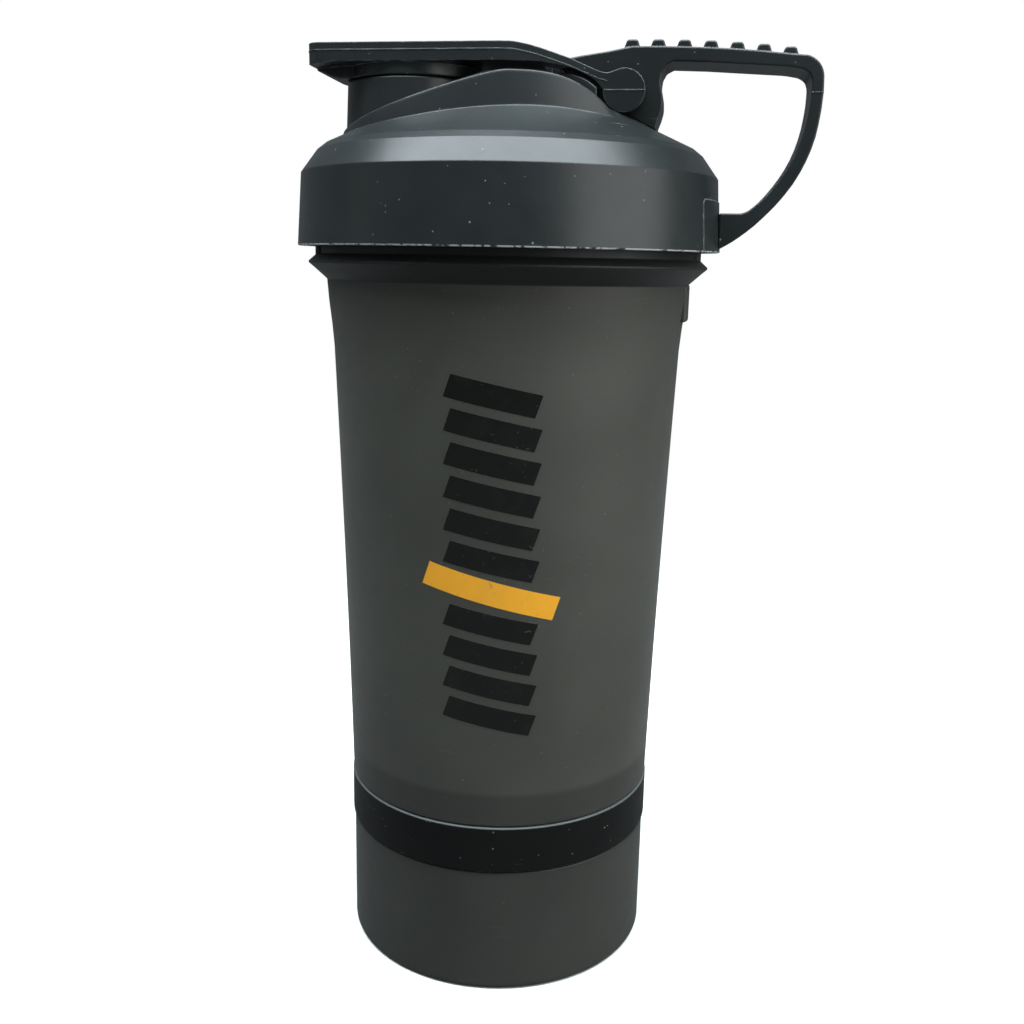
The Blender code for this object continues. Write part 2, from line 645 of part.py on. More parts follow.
def make_flip_cap():
    tab = [(TAB_END, PLATE_TOP - 0.0003), (TAB_END + 0.0004, PLATE_TOP)]
    barrel = arc((HINGE_X, HINGE_Z), BARREL_RADIUS, 115, -180, 14)
    under = list(ARM_UNDERSIDE) + [(-0.0360, PLATE_BOTTOM), (TAB_END, PLATE_BOTTOM - 0.0006)]
    cap = prism("flip_cap", tab + list(ARM_TOP) + barrel + under, -PLATE_HALF_WIDTH, PLATE_HALF_WIDTH)
    combine(cap, make_cap_outline(), "INTERSECT")
    slot = block("arm_slot", (PLATE_INNER_END, -ARM_INNER, 0.1900), (0.0400, ARM_INNER, 0.2150))
    combine(cap, slot, "DIFFERENCE")
    shroud = turned("cap_shroud", [
        (SHROUD_INNER, SHROUD_BOTTOM), (SPOUT_RADIUS, SHROUD_BOTTOM),
        (SPOUT_RADIUS, PLATE_BOTTOM + 0.0010), (SHROUD_INNER, PLATE_BOTTOM + 0.0010),
    ], sides=32, centre=(SPOUT_X, 0))
    combine(cap, shroud, "UNION")
    combine(cap, make_thumb_wedge(), "UNION")
    boss = turned("plug_boss", [(0, PLATE_BOTTOM - 0.0030), (0.0060, PLATE_BOTTOM - 0.0030),
                                (0.0060, PLATE_BOTTOM + 0.0010), (0, PLATE_BOTTOM + 0.0010)],
                  sides=24, centre=(SPOUT_X, 0))
    combine(cap, boss, "UNION")
    for side in (-1, 1):
        ends = sorted((side * 0.0046, side * (ARM_INNER + 0.0010)))
        combine(cap, cross_pin(f"trunnion_{side + 1}", TRUNNION_RADIUS, *ends), "UNION")
    finish_piece(cap, "lid_plastic")


def make_cap_outline():
    """The cap seen from above: a round-cornered plate that narrows to the hinge arms."""
    corner = 0.0035
    near_corner = arc((TAB_END + corner, -PLATE_HALF_WIDTH + corner), corner, 180, 270, 4)
    far_corner = arc((TAB_END + corner, PLATE_HALF_WIDTH - corner), corner, 90, 180, 4)
    outline = near_corner + [
        (-0.0040, -PLATE_HALF_WIDTH), (0.0040, -PLATE_HALF_WIDTH + 0.0007), (0.0190, -ARM_OUTER),
        (0.0400, -ARM_OUTER), (0.0400, ARM_OUTER),
        (0.0190, ARM_OUTER), (0.0040, PLATE_HALF_WIDTH - 0.0007), (-0.0040, PLATE_HALF_WIDTH),
    ] + far_corner
    return slab("cap_outline", outline, 0.1900, 0.2150)


def make_thumb_wedge():
    """Fills the corner between the thumb tab and the shroud with a concave sweep."""
    sunk = PLATE_BOTTOM + 0.0005
    inner_end = SPOUT_X - SPOUT_RADIUS + 0.0050
    wedge = prism("thumb_wedge", [
        (TAB_END + 0.0006, sunk), (TAB_END + 0.0006, PLATE_BOTTOM - 0.0010),
        (-0.0402, 0.2032), (-0.0386, 0.2025), (-0.0366, SHROUD_BOTTOM),
        (inner_end, SHROUD_BOTTOM), (inner_end, sunk),
    ], -WEDGE_HALF_WIDTH, WEDGE_HALF_WIDTH)
    room = turned("wedge_room", [
        (0, 0.2000), (SPOUT_RADIUS - 0.0004, 0.2000), (SPOUT_RADIUS - 0.0004, 0.2100), (0, 0.2100),
    ], sides=32, centre=(SPOUT_X, 0))
    combine(wedge, room, "DIFFERENCE")
    return wedge


def make_spout_plug():
    """A cup-shaped soft plug, pushed over the boss under the cap."""
    plug_radius = SPOUT_BORE - 0.0004
    boss_room = 0.0060 + GAP
    plug = turned("spout_plug", [
        (0, 0.1988),
        (plug_radius - 0.0010, 0.1988),
        (plug_radius, 0.1998),
        (plug_radius, PLATE_BOTTOM - GAP),
        (boss_room, PLATE_BOTTOM - GAP),
        (boss_room, PLATE_BOTTOM - 0.0030 - GAP),
        (0, PLATE_BOTTOM - 0.0030 - GAP),
    ], sides=32, centre=(SPOUT_X, 0))
    finish_piece(plug, "seal_silicone")


def hang_on_hinge():
    """Puts the cap's pieces under an empty on the hinge's axis."""
    axis = bpy.data.objects.new("cap_hinge_axis", None)
    axis.location = (HINGE_X, 0, HINGE_Z)
    bpy.context.scene.collection.objects.link(axis)
    bpy.context.view_layer.update()
    for name in ("flip_cap", "spout_plug"):
        piece = bpy.data.objects[name]
        piece.parent = axis
        piece.matrix_parent_inverse = axis.matrix_world.inverted()


clear_scene()
make_storage_jar()
make_storage_seal()
make_connector_collar()
make_cup()
make_mixing_grid()
make_lid_seal()
make_lid_shell()
make_carry_loop()
make_flip_cap()
make_spout_plug()
hang_on_hinge()
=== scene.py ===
"""Looks of the shaker bottle: fine meshes and moulded plastics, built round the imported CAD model.

All lengths are in metres, in the CAD's frame: the origin is on the bottle's axis, in the plane that it
stands on, +Z is up and +X points towards the carry loop.
"""

import json
from math import atan2, ceil, cos, hypot, pi, radians, sin, tan, tau

import bmesh
import bpy
from mathutils import Matrix, Vector


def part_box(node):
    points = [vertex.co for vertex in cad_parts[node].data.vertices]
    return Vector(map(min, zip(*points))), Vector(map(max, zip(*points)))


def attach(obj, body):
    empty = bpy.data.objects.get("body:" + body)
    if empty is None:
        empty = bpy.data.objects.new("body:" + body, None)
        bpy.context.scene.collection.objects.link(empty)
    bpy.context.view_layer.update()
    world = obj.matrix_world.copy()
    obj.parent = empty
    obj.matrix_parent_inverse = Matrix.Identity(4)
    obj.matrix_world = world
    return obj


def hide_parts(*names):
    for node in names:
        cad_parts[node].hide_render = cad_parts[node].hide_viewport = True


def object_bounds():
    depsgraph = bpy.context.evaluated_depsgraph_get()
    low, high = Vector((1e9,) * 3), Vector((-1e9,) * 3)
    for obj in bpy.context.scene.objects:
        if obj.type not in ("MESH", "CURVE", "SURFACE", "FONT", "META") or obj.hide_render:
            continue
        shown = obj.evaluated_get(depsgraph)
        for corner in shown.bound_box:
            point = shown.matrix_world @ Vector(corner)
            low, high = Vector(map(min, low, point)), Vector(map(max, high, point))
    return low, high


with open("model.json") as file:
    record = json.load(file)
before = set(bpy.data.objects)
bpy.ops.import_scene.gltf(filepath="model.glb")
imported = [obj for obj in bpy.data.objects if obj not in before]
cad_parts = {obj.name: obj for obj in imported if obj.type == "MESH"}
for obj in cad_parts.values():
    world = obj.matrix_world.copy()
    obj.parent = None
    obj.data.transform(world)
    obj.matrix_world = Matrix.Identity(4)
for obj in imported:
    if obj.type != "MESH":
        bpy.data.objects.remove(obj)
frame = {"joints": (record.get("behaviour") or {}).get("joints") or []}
CAD_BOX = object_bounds()

# ----- sizes read from the frame
JAR_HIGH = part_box("storage_jar")[1]
JAR_SEAL_LOW, JAR_SEAL_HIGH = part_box("storage_seal")
COLLAR_LOW, COLLAR_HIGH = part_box("connector_collar")
CUP_LOW, CUP_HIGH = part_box("cup")
GRID_LOW, GRID_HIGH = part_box("mixing_grid")
LID_SEAL_LOW, LID_SEAL_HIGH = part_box("lid_seal")
LID_LOW, LID_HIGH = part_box("lid_shell")
LOOP_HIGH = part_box("carry_loop")[1]
CAP_LOW, CAP_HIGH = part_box("flip_cap")
PLUG_LOW, PLUG_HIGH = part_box("spout_plug")
CAP_HINGE = next(joint for joint in frame["joints"] if joint["name"] == "flip_cap_hinge")

BASE_RADIUS = JAR_HIGH.y
COLLAR_RADIUS = COLLAR_HIGH.y
COLLAR_TOP = CUP_LOW.z - 0.0003
FLANGE_RADIUS = CUP_HIGH.y
NECK_TOP = CUP_HIGH.z
SKIRT_RADIUS = LID_HIGH.y
SKIRT_BOTTOM = LID_LOW.z
SPOUT_TOP = LID_HIGH.z
SPOUT_X = (PLUG_LOW.x + PLUG_HIGH.x) / 2
PLUG_RADIUS = PLUG_HIGH.y
HINGE_X = CAP_HINGE["pos_m"][0]
HINGE_Z = CAP_HINGE["pos_m"][2]
BARREL_RADIUS = CAP_HIGH.x - HINGE_X
TAB_END = CAP_LOW.x
PLATE_TOP = CAP_HIGH.z
PLATE_HALF_WIDTH = CAP_HIGH.y
LOOP_HALF_WIDTH = LOOP_HIGH.y

# ----- sizes worked out from those
SIDES = 256  # flats round each turned piece
WALL = 0.0019
GAP = 0.0003

CUP_BASE_RADIUS = BASE_RADIUS + 0.0002
CUP_MOUTH_RADIUS = FLANGE_RADIUS - 0.0048
CUP_FLARE = 0.0008  # extra widening under the drip flange
CUP_WAIST = 0.0003
CUP_FLOOR = CUP_LOW.z + 0.0069
FLANGE_TOP = SKIRT_BOTTOM - 0.0032
FLANGE_UNDERSIDE = FLANGE_TOP - 0.0039
FLARE_BOTTOM = FLANGE_UNDERSIDE - 0.0152
NECK_RADIUS = FLANGE_RADIUS - 0.0021
NECK_BORE = NECK_RADIUS - WALL
LEDGE_HEIGHT = GRID_LOW.z - GAP
SNAP_HEIGHT = COLLAR_TOP + 0.004
SNAP_DEPTH = 0.0005
CUP_BASE_BORE = 0.0345

SKIRT_TOP = SKIRT_BOTTOM + 0.0156
SHOULDER_RADIUS = SKIRT_RADIUS - 0.001
CHAMFER_TOP_RADIUS = SKIRT_RADIUS - 0.0045
CHAMFER_TOP = SKIRT_TOP + 0.0047
DOME_EDGE_RADIUS = SKIRT_RADIUS - 0.0063
DOME_EDGE_HEIGHT = SKIRT_TOP + 0.0061
DOME_SLOPE = 0.46
DOME_TOP_RADIUS = 0.02
LID_BORE = SKIRT_RADIUS - 0.0027
LID_CEILING = LID_SEAL_HIGH.z + GAP
LIP_OUTER = NECK_BORE - 0.0008
LIP_INNER = LIP_OUTER - 0.0016
LIP_BOTTOM = LID_CEILING - 0.0049

SPOUT_RADIUS = 0.015
SPOUT_BORE = PLUG_RADIUS + 0.0004
SPOUT_SHOULDER = SPOUT_TOP - 0.0018
DECK_HEIGHT = SPOUT_TOP - 0.0008
RAMP_SLOPE = 0.394
RAMP_AT_AXIS = DECK_HEIGHT + 0.0017
ARCH_X = 0.0045  # the hump's side wall is highest here
ARCH_TOP = DECK_HEIGHT - 0.0005
ARCH_LEAN = -0.065
ARCH_SPREAD = 0.355
ARCH_ROUND = 0.003
ARCH_END = 950  # cubic fall towards the hinge
HUMP_X = -0.001  # the middle of the hump's foot
HUMP_HALF_LENGTH = 0.0365
HUMP_HALF_WIDTH = 0.031
HUMP_TAPER = 0.0045
DECK_X = -0.012
DECK_HALF_LENGTH = 0.0245
DECK_HALF_WIDTH = 0.0145
WALL_SHARE_AT_ENDS = 0.02  # where the side wall starts, as a share of the way from foot to deck
WALL_SHARE_AT_SIDES = 0.125
WALL_LEAN = 0.035  # how far the wall leans in, as a share of the way to the deck
SPINE_HALF_WIDTH = 0.0113

PLATE_BOTTOM = PLATE_TOP - 0.0038
ARM_INNER = LOOP_HALF_WIDTH + 0.0004
ARM_OUTER = ARM_INNER + 0.0042
TRUNNION_RADIUS = 0.0016
SHROUD_INNER = SPOUT_RADIUS - 0.0008
SHROUD_BOTTOM = SPOUT_SHOULDER + GAP
BOSS_RADIUS = 0.006  # carries the plug
BOSS_BOTTOM = PLATE_BOTTOM - 0.003
CAP_CUT_LOW, CAP_CUT_HIGH = 0.19, 0.215  # cutting tools reach past the cap, below and above

RIDGE_COUNT = 7
RIDGE_FIRST_X = HINGE_X + 0.0011
RIDGE_PITCH = 0.0055
RIDGE_RISE = 0.0014
BAR_TOP = LOOP_HIGH.z - RIDGE_RISE
BAR_THICKNESS = 0.003
LOOP_REACH = LOOP_HIGH.x

LID_LEAD = 0.009
JAR_LEAD = 0.006
THREAD_STARTS = 2


# ----- mesh tools
def rounded(points, step=radians(15)):
    """An outline of (a, b) points. A third number rounds that corner to its radius."""
    made = []
    for index, point in enumerate(points):
        corner = Vector(point[:2])
        if len(point) == 2:
            made.append(tuple(corner))
            continue
        back = Vector(points[index - 1][:2]) - corner
        ahead = Vector(points[(index + 1) % len(points)][:2]) - corner
        half = back.angle(ahead) / 2
        reach = min(point[2] / tan(half), 0.48 * back.length, 0.48 * ahead.length)
        radius = reach * tan(half)
        start = corner + back.normalized() * reach
        end = corner + ahead.normalized() * reach
        middle = corner + (back.normalized() + ahead.normalized()).normalized() * hypot(radius, reach)
        first = atan2(start.y - middle.y, start.x - middle.x)
        sweep = (atan2(end.y - middle.y, end.x - middle.x) - first + pi) % tau - pi
        steps = max(2, ceil(abs(sweep) / step))
        for number in range(steps + 1):
            angle = first + sweep * number / steps
            made.append((middle.x + radius * cos(angle), middle.y + radius * sin(angle)))
    return made


def arc(centre, radius, start, end, steps):
    """Points on an arc, from one angle in degrees to another, both ends included."""
    angles = [radians(start + (end - start) * step / steps) for step in range(steps + 1)]
    return [(centre[0] + radius * cos(a), centre[1] + radius * sin(a)) for a in angles]


def object_from(build, name):
    """Turns a bmesh into an object with its faces pointing out."""
    bmesh.ops.recalc_face_normals(build, faces=build.faces)
    mesh = bpy.data.meshes.new(name)
    build.to_mesh(mesh)
    build.free()
    made = bpy.data.objects.new(name, mesh)
    bpy.context.scene.collection.objects.link(made)
    return made


def loft(name, rings):
    """A skin over rings of equally many points, with its two ends filled."""
    build = bmesh.new()
    loops = [[build.verts.new(point) for point in ring] for ring in rings]
    for lower, upper in zip(loops, loops[1:]):
        for here in range(len(lower)):
            after = (here + 1) % len(lower)
            build.faces.new((lower[here], lower[after], upper[after], upper[here]))
    build.faces.new(loops[0][::-1])
    build.faces.new(loops[-1])
    return object_from(build, name)


def turned(name, outline, sides=SIDES, centre=(0, 0)):
    """A solid turned about a vertical axis. The outline is a closed run of (radius, height) points."""
    first = 0 if centre == (0, 0) else pi / sides
    build = bmesh.new()
    rings = []
    for radius, height in outline:
        if radius < 1e-7:
            rings.append([build.verts.new((*centre, height))] * sides)
            continue
        angles = [first + tau * step / sides for step in range(sides)]
        rings.append([build.verts.new((centre[0] + radius * cos(a), centre[1] + radius * sin(a), height))
                      for a in angles])
    for lower, upper in zip(rings, rings[1:] + rings[:1]):
        for step in range(sides):
            after = (step + 1) % sides
            corners = list(dict.fromkeys([lower[step], lower[after], upper[after], upper[step]]))
            if len(corners) > 2:
                build.faces.new(corners)
    return object_from(build, name)


def flat_ring(name, inner, outer, low, high, edge):
    """A ring of square section, with its four rims rounded."""
    corners = ((inner, low), (outer, low), (outer, high), (inner, high))
    return turned(name, rounded([(*corner, edge) for corner in corners]))


def about_spout(name, outline, sides=128):
    """A solid turned about the spout's axis."""
    return turned(name, outline, sides, (SPOUT_X, 0))


def prism(name, outline, low, high, edge=0):
    """An outline of (x, z) points, extruded along Y. Edge rounds the rims of both flat faces."""
    made = loft(name, [[(x, y, z) for x, z in outline] for y in (low, high)])
    return soften(made, edge) if edge else made


def slab(name, outline, low, high, edge=0):
    """An outline of (x, y) points, extruded along Z. Edge rounds the rims of both flat faces."""
    made = loft(name, [[(x, y, z) for x, y in outline] for z in (low, high)])
    return soften(made, edge) if edge else made


def block(name, low, high, edge=0):
    corners = ((low[0], low[1]), (high[0], low[1]), (high[0], high[1]), (low[0], high[1]))
    return slab(name, corners, low[2], high[2], edge)


def cross_pin(name, radius, low, high, edge=0):
    """A cylinder along Y, on the hinge's axis."""
    sides = 72
    return prism(name, arc((HINGE_X, HINGE_Z), radius, 0, 360 - 360 / sides, sides - 1), low, high, edge)


def bake(piece):
    """Applies the piece's modifiers."""
    graph = bpy.context.evaluated_depsgraph_get()
    mesh = bpy.data.meshes.new_from_object(piece.evaluated_get(graph), depsgraph=graph)
    old = piece.data
    piece.modifiers.clear()
    piece.data = mesh
    bpy.data.meshes.remove(old)
    return piece


def soften(piece, width, segments=3):
    """Rounds the sharp edges."""
    bevel = piece.modifiers.new("bevel", "BEVEL")
    bevel.width = width
    bevel.segments = segments
    bevel.limit_method = "ANGLE"
    bevel.angle_limit = radians(38)
    bevel.miter_outer = "MITER_ARC"
    return bake(piece)


def combine(target, tool, operation):
    """Joins, cuts or trims the target with the tool, which is used up."""
    modifier = target.modifiers.new(tool.name, "BOOLEAN")
    modifier.operation = operation
    modifier.solver = "EXACT"
    modifier.object = tool
    bake(target)
    mesh = tool.data
    bpy.data.objects.remove(tool, do_unlink=True)
    bpy.data.meshes.remove(mesh)
    return target


def join(target, tool):
    return combine(target, tool, "UNION")


def cut(target, tool):
    return combine(target, tool, "DIFFERENCE")


def helical_ridge(name, root, crest, start_angle, start_height, turns, lead):
    """One thread start. The root is sunk in the wall, and the crest sinks away at both ends."""
    pitch = lead / THREAD_STARTS
    steps_a_turn = 128
    steps = round(turns * steps_a_turn)
    run_out = 8  # steps
    flank, crown = 0.16, 0.09  # half widths, as shares of the pitch
    rings = []
    for step in range(steps + 1):
        angle = start_angle + tau * (step + 0.5) / steps_a_turn
        height = start_height + lead * step / steps_a_turn
        fade = min(1, step / run_out, (steps - step) / run_out)
        reach = root + (crest - root) * (0.25 + 0.75 * fade)
        section = ((root, -flank), (reach, -crown), (reach + (crest - root) * 0.04, 0), (reach, crown),
                   (root, flank))
        rings.append([(r * cos(angle), r * sin(angle), height + share * pitch) for r, share in section])
    return loft(name, rings)


def add_thread(target, root, crest, start_height, turns, lead):
    """All of a thread's starts, spread evenly round the axis."""
    for start in range(THREAD_STARTS):
        angle = tau * start / THREAD_STARTS
        join(target, helical_ridge("thread", root, crest, angle, start_height, turns, lead))


def finish_piece(piece, body, material, node):
    """Shades the piece, gives it its plastic and lets it ride in the place of its CAD node."""
    build = bmesh.new()
    build.from_mesh(piece.data)
    bmesh.ops.remove_doubles(build, verts=build.verts, dist=1e-7)
    bmesh.ops.dissolve_degenerate(build, edges=build.edges, dist=1e-7)
    build.to_mesh(piece.data)
    build.free()
    piece.data.materials.clear()
    piece.data.materials.append(material)
    piece.data.shade_smooth()
    piece.data.set_sharp_from_angle(angle=radians(31))
    normals = piece.modifiers.new("normals", "WEIGHTED_NORMAL")
    normals.keep_sharp = True
    normals.weight = 60
    bake(piece)
    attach(piece, body)
    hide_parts(node)


# ----- material tools
class Shading:
    """A node material with one Principled shader, and short ways to add what feeds it."""

    def __init__(self, name):
        self.material = bpy.data.materials.new(name)
        self.material.use_nodes = True
        self.tree = self.material.node_tree
        self.shader = self.tree.nodes["Principled BSDF"]
        self.place = self.add("TexCoord").outputs["Object"]

    def add(self, kind, inputs=None, **settings):
        """A new node. Inputs are numbers, colours or the sockets that feed them."""
        made = self.tree.nodes.new("ShaderNode" + kind)
        for key, value in settings.items():
            setattr(made, key, value)
        for key, value in (inputs or {}).items():
            self.feed(made.inputs[key], value)
        return made

    def feed(self, socket, value):
        if isinstance(value, bpy.types.NodeSocket):
            self.tree.links.new(value, socket)
        else:
            socket.default_value = value

    def surface(self, name, value):
        """Sets or feeds one of the shader's own inputs."""
        self.feed(self.shader.inputs[name], value)

    def math(self, operation, *values):
        made = self.add("Math", operation=operation)
        for number, value in enumerate(values):
            self.feed(made.inputs[number], value)
        return made.outputs[0]

    def times(self, first, second):
        return self.math("MULTIPLY", first, second)

    def step(self, value, low, high, start=0.0, end=1.0):
        """Rises smoothly from start at low to end at high."""
        sockets = {"Value": value, "From Min": low, "From Max": high, "To Min": start, "To Max": end}
        return self.add("MapRange", sockets, interpolation_type="SMOOTHSTEP").outputs[0]

    def noise(self, scale, detail=2.0, stretch=None, distortion=0.0):
        """Noise from 0 to 1. Stretch is a (rotation, scale of each axis)."""
        place = self.place
        if stretch:
            turn, scales = stretch
            place = self.add("Mapping", {"Vector": place, "Rotation": turn, "Scale": scales}).outputs[0]
        return self.add("TexNoise", {"Vector": place, "Scale": scale, "Detail": detail,
                                     "Distortion": distortion}).outputs[0]

    def mix(self, share, first, second):
        """A colour between two others."""
        made = self.add("Mix", data_type="RGBA")
        self.feed(made.inputs[0], share)
        for socket, value in ((made.inputs[6], first), (made.inputs[7], second)):
            self.feed(socket, value if isinstance(value, bpy.types.NodeSocket) else (*value, 1))
        return made.outputs[2]

    def height(self):
        return self.add("SeparateXYZ", {0: self.place}).outputs[2]

    def band(self, low, high, soft):
        """1 between two heights, and 0 outside them."""
        up = self.step(self.height(), low - soft, low + soft)
        down = self.step(self.height(), high - soft, high + soft, 1.0, 0.0)
        return self.times(up, down)


def specks(look, cells_a_metre, size, share):
    """Small round dots of dust: a share of the cells has one, with a radius in cells."""
    cells = look.add("TexVoronoi", {"Vector": look.place, "Scale": cells_a_metre})
    chosen = look.add("SeparateColor", {0: cells.outputs["Color"]})
    dot = look.step(cells.outputs["Distance"], size * 0.5, size, 1.0, 0.0)
    kept = look.math("GREATER_THAN", chosen.outputs[0], 1 - share)
    return look.times(dot, kept)


def scratches(look, turn, cells_a_metre, threshold, patch_scale):
    """Fine lines that run across one direction, only in scattered patches."""
    lines = look.noise(1.0, 1.0, (turn, (cells_a_metre * 0.02, cells_a_metre * 0.02, cells_a_metre)))
    fine = look.step(lines, threshold, threshold + 0.05)
    patches = look.step(look.noise(patch_scale, 1.0), 0.5, 0.62)
    return look.times(fine, patches)


def worn_and_highlit_edges(look, radius, strength):
    """(the normal with its edges rounded, how pale the edge is painted: partly wear, partly a painted
    highlight where edges catch light).
    """
    soft = look.add("Bevel", {"Radius": radius}, samples=6)
    flat = look.add("NewGeometry")
    same = look.add("VectorMath", {0: soft.outputs[0], 1: flat.outputs["Normal"]}, operation="DOT_PRODUCT")
    bend = look.math("SUBTRACT", 1.0, same.outputs["Value"])
    broken = look.step(look.noise(420, 3.0), 0.4, 0.66, 0.15, 1.0)
    # painted highlight and wear: the sharper the edge bends, the paler it is painted
    wear_and_highlight_mask = look.step(bend, 0.015, 0.16, 0.0, strength)
    return soft.outputs[0], look.times(wear_and_highlight_mask, broken)


def moulded_plastic(name, deep, pale, pale_marks_and_highlight, roughness, grain, dust, edge_wear_and_highlight, specular):
    """Satin injection-moulded plastic: flow mottling, fine grain, scratches, dust, and edges painted pale
    as wear and painted highlight.
    """
    look = Shading(name)
    clouds = look.step(look.noise(24, 3.0, distortion=0.4), 0.34, 0.68)
    colour = look.mix(clouds, deep, pale)
    mottling = look.noise(260, 3.0)
    marks = look.math("MAXIMUM",
                     scratches(look, (0.2, 0.1, 0), 3200, 0.76, 36),
                     scratches(look, (0.7, 0.5, 0.2), 2600, 0.77, 52))
    colour = look.mix(look.times(marks, 0.25), colour, pale_marks_and_highlight)
    spots = look.math("MAXIMUM", specks(look, 420, 0.11, 0.1 * dust),
                      specks(look, 1100, 0.2, 0.09 * dust))
    colour = look.mix(look.times(spots, 0.42), colour, pale_marks_and_highlight)
    # edges painted paler, partly wear and partly a painted highlight
    normal, wear_and_highlight_mask = worn_and_highlit_edges(look, 0.00035, edge_wear_and_highlight)
    colour = look.mix(wear_and_highlight_mask, colour, pale_marks_and_highlight)
    look.colour = colour
    shine = look.math("ADD", roughness - 0.06, look.times(mottling, 0.12))
    shine = look.math("ADD", shine, look.times(look.math("MAXIMUM", marks, spots), 0.16))
    look.surface("Roughness", shine)
    look.surface("Base Color", colour)
    look.surface("Specular IOR Level", specular)
    peel = look.add("Bump", {"Strength": 0.22 * grain, "Distance": 0.00006,
                             "Height": look.noise(1300, 2.0), "Normal": normal})
    fine = look.add("Bump", {"Strength": 0.55 * grain, "Distance": 0.000022,
                             "Height": look.noise(5200, 2.0), "Normal": peel.outputs[0]})
    look.surface("Normal", fine.outputs[0])
    return look


def make_lid_plastic():
    """Black-green plastic, with a ragged pale line along the skirt's lower edge: a painted highlight on its
    rough rim.
    """
    look = moulded_plastic("lid_plastic", (0.0095, 0.0125, 0.0125), (0.015, 0.019, 0.0195),
                           (0.36, 0.39, 0.39), 0.33, 1.0, 0.5, 0.6, 0.4)
    # painted highlight along the skirt's rough lower rim
    ragged = look.times(look.step(look.noise(900, 4.0), 0.38, 0.5), 0.95)
    foot = look.times(look.band(SKIRT_BOTTOM - 0.001, SKIRT_BOTTOM + 0.00028, 0.0001), ragged)
    look.surface("Base Color", look.mix(foot, look.colour, (0.6, 0.63, 0.63)))
    return look.material


def make_smoke_plastic():
    """Satin grey plastic, with painted shade in bands over the cup's hollow foot and on its flange, and
    darker below the collar.
    """
    look = moulded_plastic("smoke_plastic", (0.0415, 0.042, 0.035), (0.053, 0.054, 0.045),
                           (0.2, 0.21, 0.18), 0.48, 0.8, 0.5, 0.18, 0.3)
    # painted shade: the hollow foot's inside, as seen through the wall
    hollow = look.times(look.band(CUP_LOW.z - 0.002, CUP_FLOOR + 0.0006, 0.0009), 0.42)
    # painted shade on the flange and everything above its underside
    flange = look.times(look.band(FLANGE_UNDERSIDE - 0.0001, 0.3, 0.0002), 0.92)
    # darker below the collar, over the jar
    jar = look.times(look.band(-1, COLLAR_LOW.z, 0.0003), 0.45)
    darker = look.math("MAXIMUM", look.math("MAXIMUM", hollow, flange), jar)
    look.surface("Sheen Weight", 0.04)
    look.surface("Sheen Roughness", 0.4)
    look.surface("Base Color", look.mix(darker, look.colour, (0.006, 0.007, 0.007)))
    look.surface("Subsurface Weight", 0.12)
    look.surface("Subsurface Scale", 0.003)
    return look.material


def make_black_plastic():
    """Black plastic, with a painted highlight on the collar's upper lip and a ragged paler band along its
    lower edge.
    """
    look = moulded_plastic("black_plastic", (0.0024, 0.0027, 0.0026), (0.004, 0.0044, 0.0042),
                           (0.3, 0.32, 0.32), 0.44, 0.9, 0.8, 0.5, 0.16)
    ragged = look.times(look.step(look.noise(1400, 4.0), 0.54, 0.64), 0.5)
    # painted highlight along the collar's upper lip
    lip = look.times(look.band(COLLAR_TOP - 0.0003, COLLAR_TOP + 0.001, 0.0001), 0.5)
    look.colour = look.mix(lip, look.colour, (0.17, 0.19, 0.185))
    foot = look.times(look.band(COLLAR_LOW.z - 0.001, COLLAR_LOW.z + 0.00014, 0.00006), ragged)
    look.surface("Base Color", look.mix(foot, look.colour, (0.5, 0.52, 0.5)))
    return look.material


def make_silicone():
    return moulded_plastic("seal_silicone", (0.3, 0.31, 0.32), (0.36, 0.37, 0.38),
                           (0.55, 0.55, 0.54), 0.58, 0.7, 0.6, 0.1, 0.4).material


def make_ink(name, ink, bare, roughness, chipped):
    """Screen-printed gloss ink, chipped through to the plastic in places."""
    look = Shading(name)
    chips = look.step(look.noise(750, 5.0, distortion=0.6), 0.7 - 0.1 * chipped, 0.74 - 0.1 * chipped)
    smears = look.times(look.step(look.noise(90, 4.0, distortion=1.2), 0.48, 0.7), 0.5 * chipped)
    gone = look.math("MAXIMUM", chips, smears)
    thin = look.mix(look.times(look.noise(300, 3.0), 0.3), ink, tuple(value * 1.4 for value in ink))
    look.surface("Base Color", look.mix(look.times(gone, 0.8), thin, bare))
    look.surface("Roughness", look.math("ADD", roughness, look.times(gone, 0.3)))
    look.surface("Specular IOR Level", 0.35)
    left = look.math("SUBTRACT", 1.0, chips)
    bump = look.add("Bump", {"Strength": 0.5, "Distance": 0.00003, "Height": left})
    look.surface("Normal", bump.outputs[0])
    return look.material


LID_PLASTIC = make_lid_plastic()
SMOKE_PLASTIC = make_smoke_plastic()
BLACK_PLASTIC = make_black_plastic()
SILICONE = make_silicone()
BLACK_INK = make_ink("black_ink", (0.0022, 0.002, 0.0016), (0.03, 0.029, 0.024), 0.16, 0.25)
AMBER_INK = make_ink("amber_ink", (0.7, 0.32, 0.02), (0.36, 0.2, 0.06), 0.32, 0.25)


# ----- storage jar, its seal and the collar
JAR_NECK_RADIUS = 0.033
JAR_NECK_BORE = 0.031
JAR_SHOULDER = COLLAR_LOW.z - 0.0004
JAR_INNER_RADIUS = BASE_RADIUS - WALL
JAR_FLOOR = 0.0022
JAR_THREAD_START = 0.0315
COLLAR_BORE = 0.0345


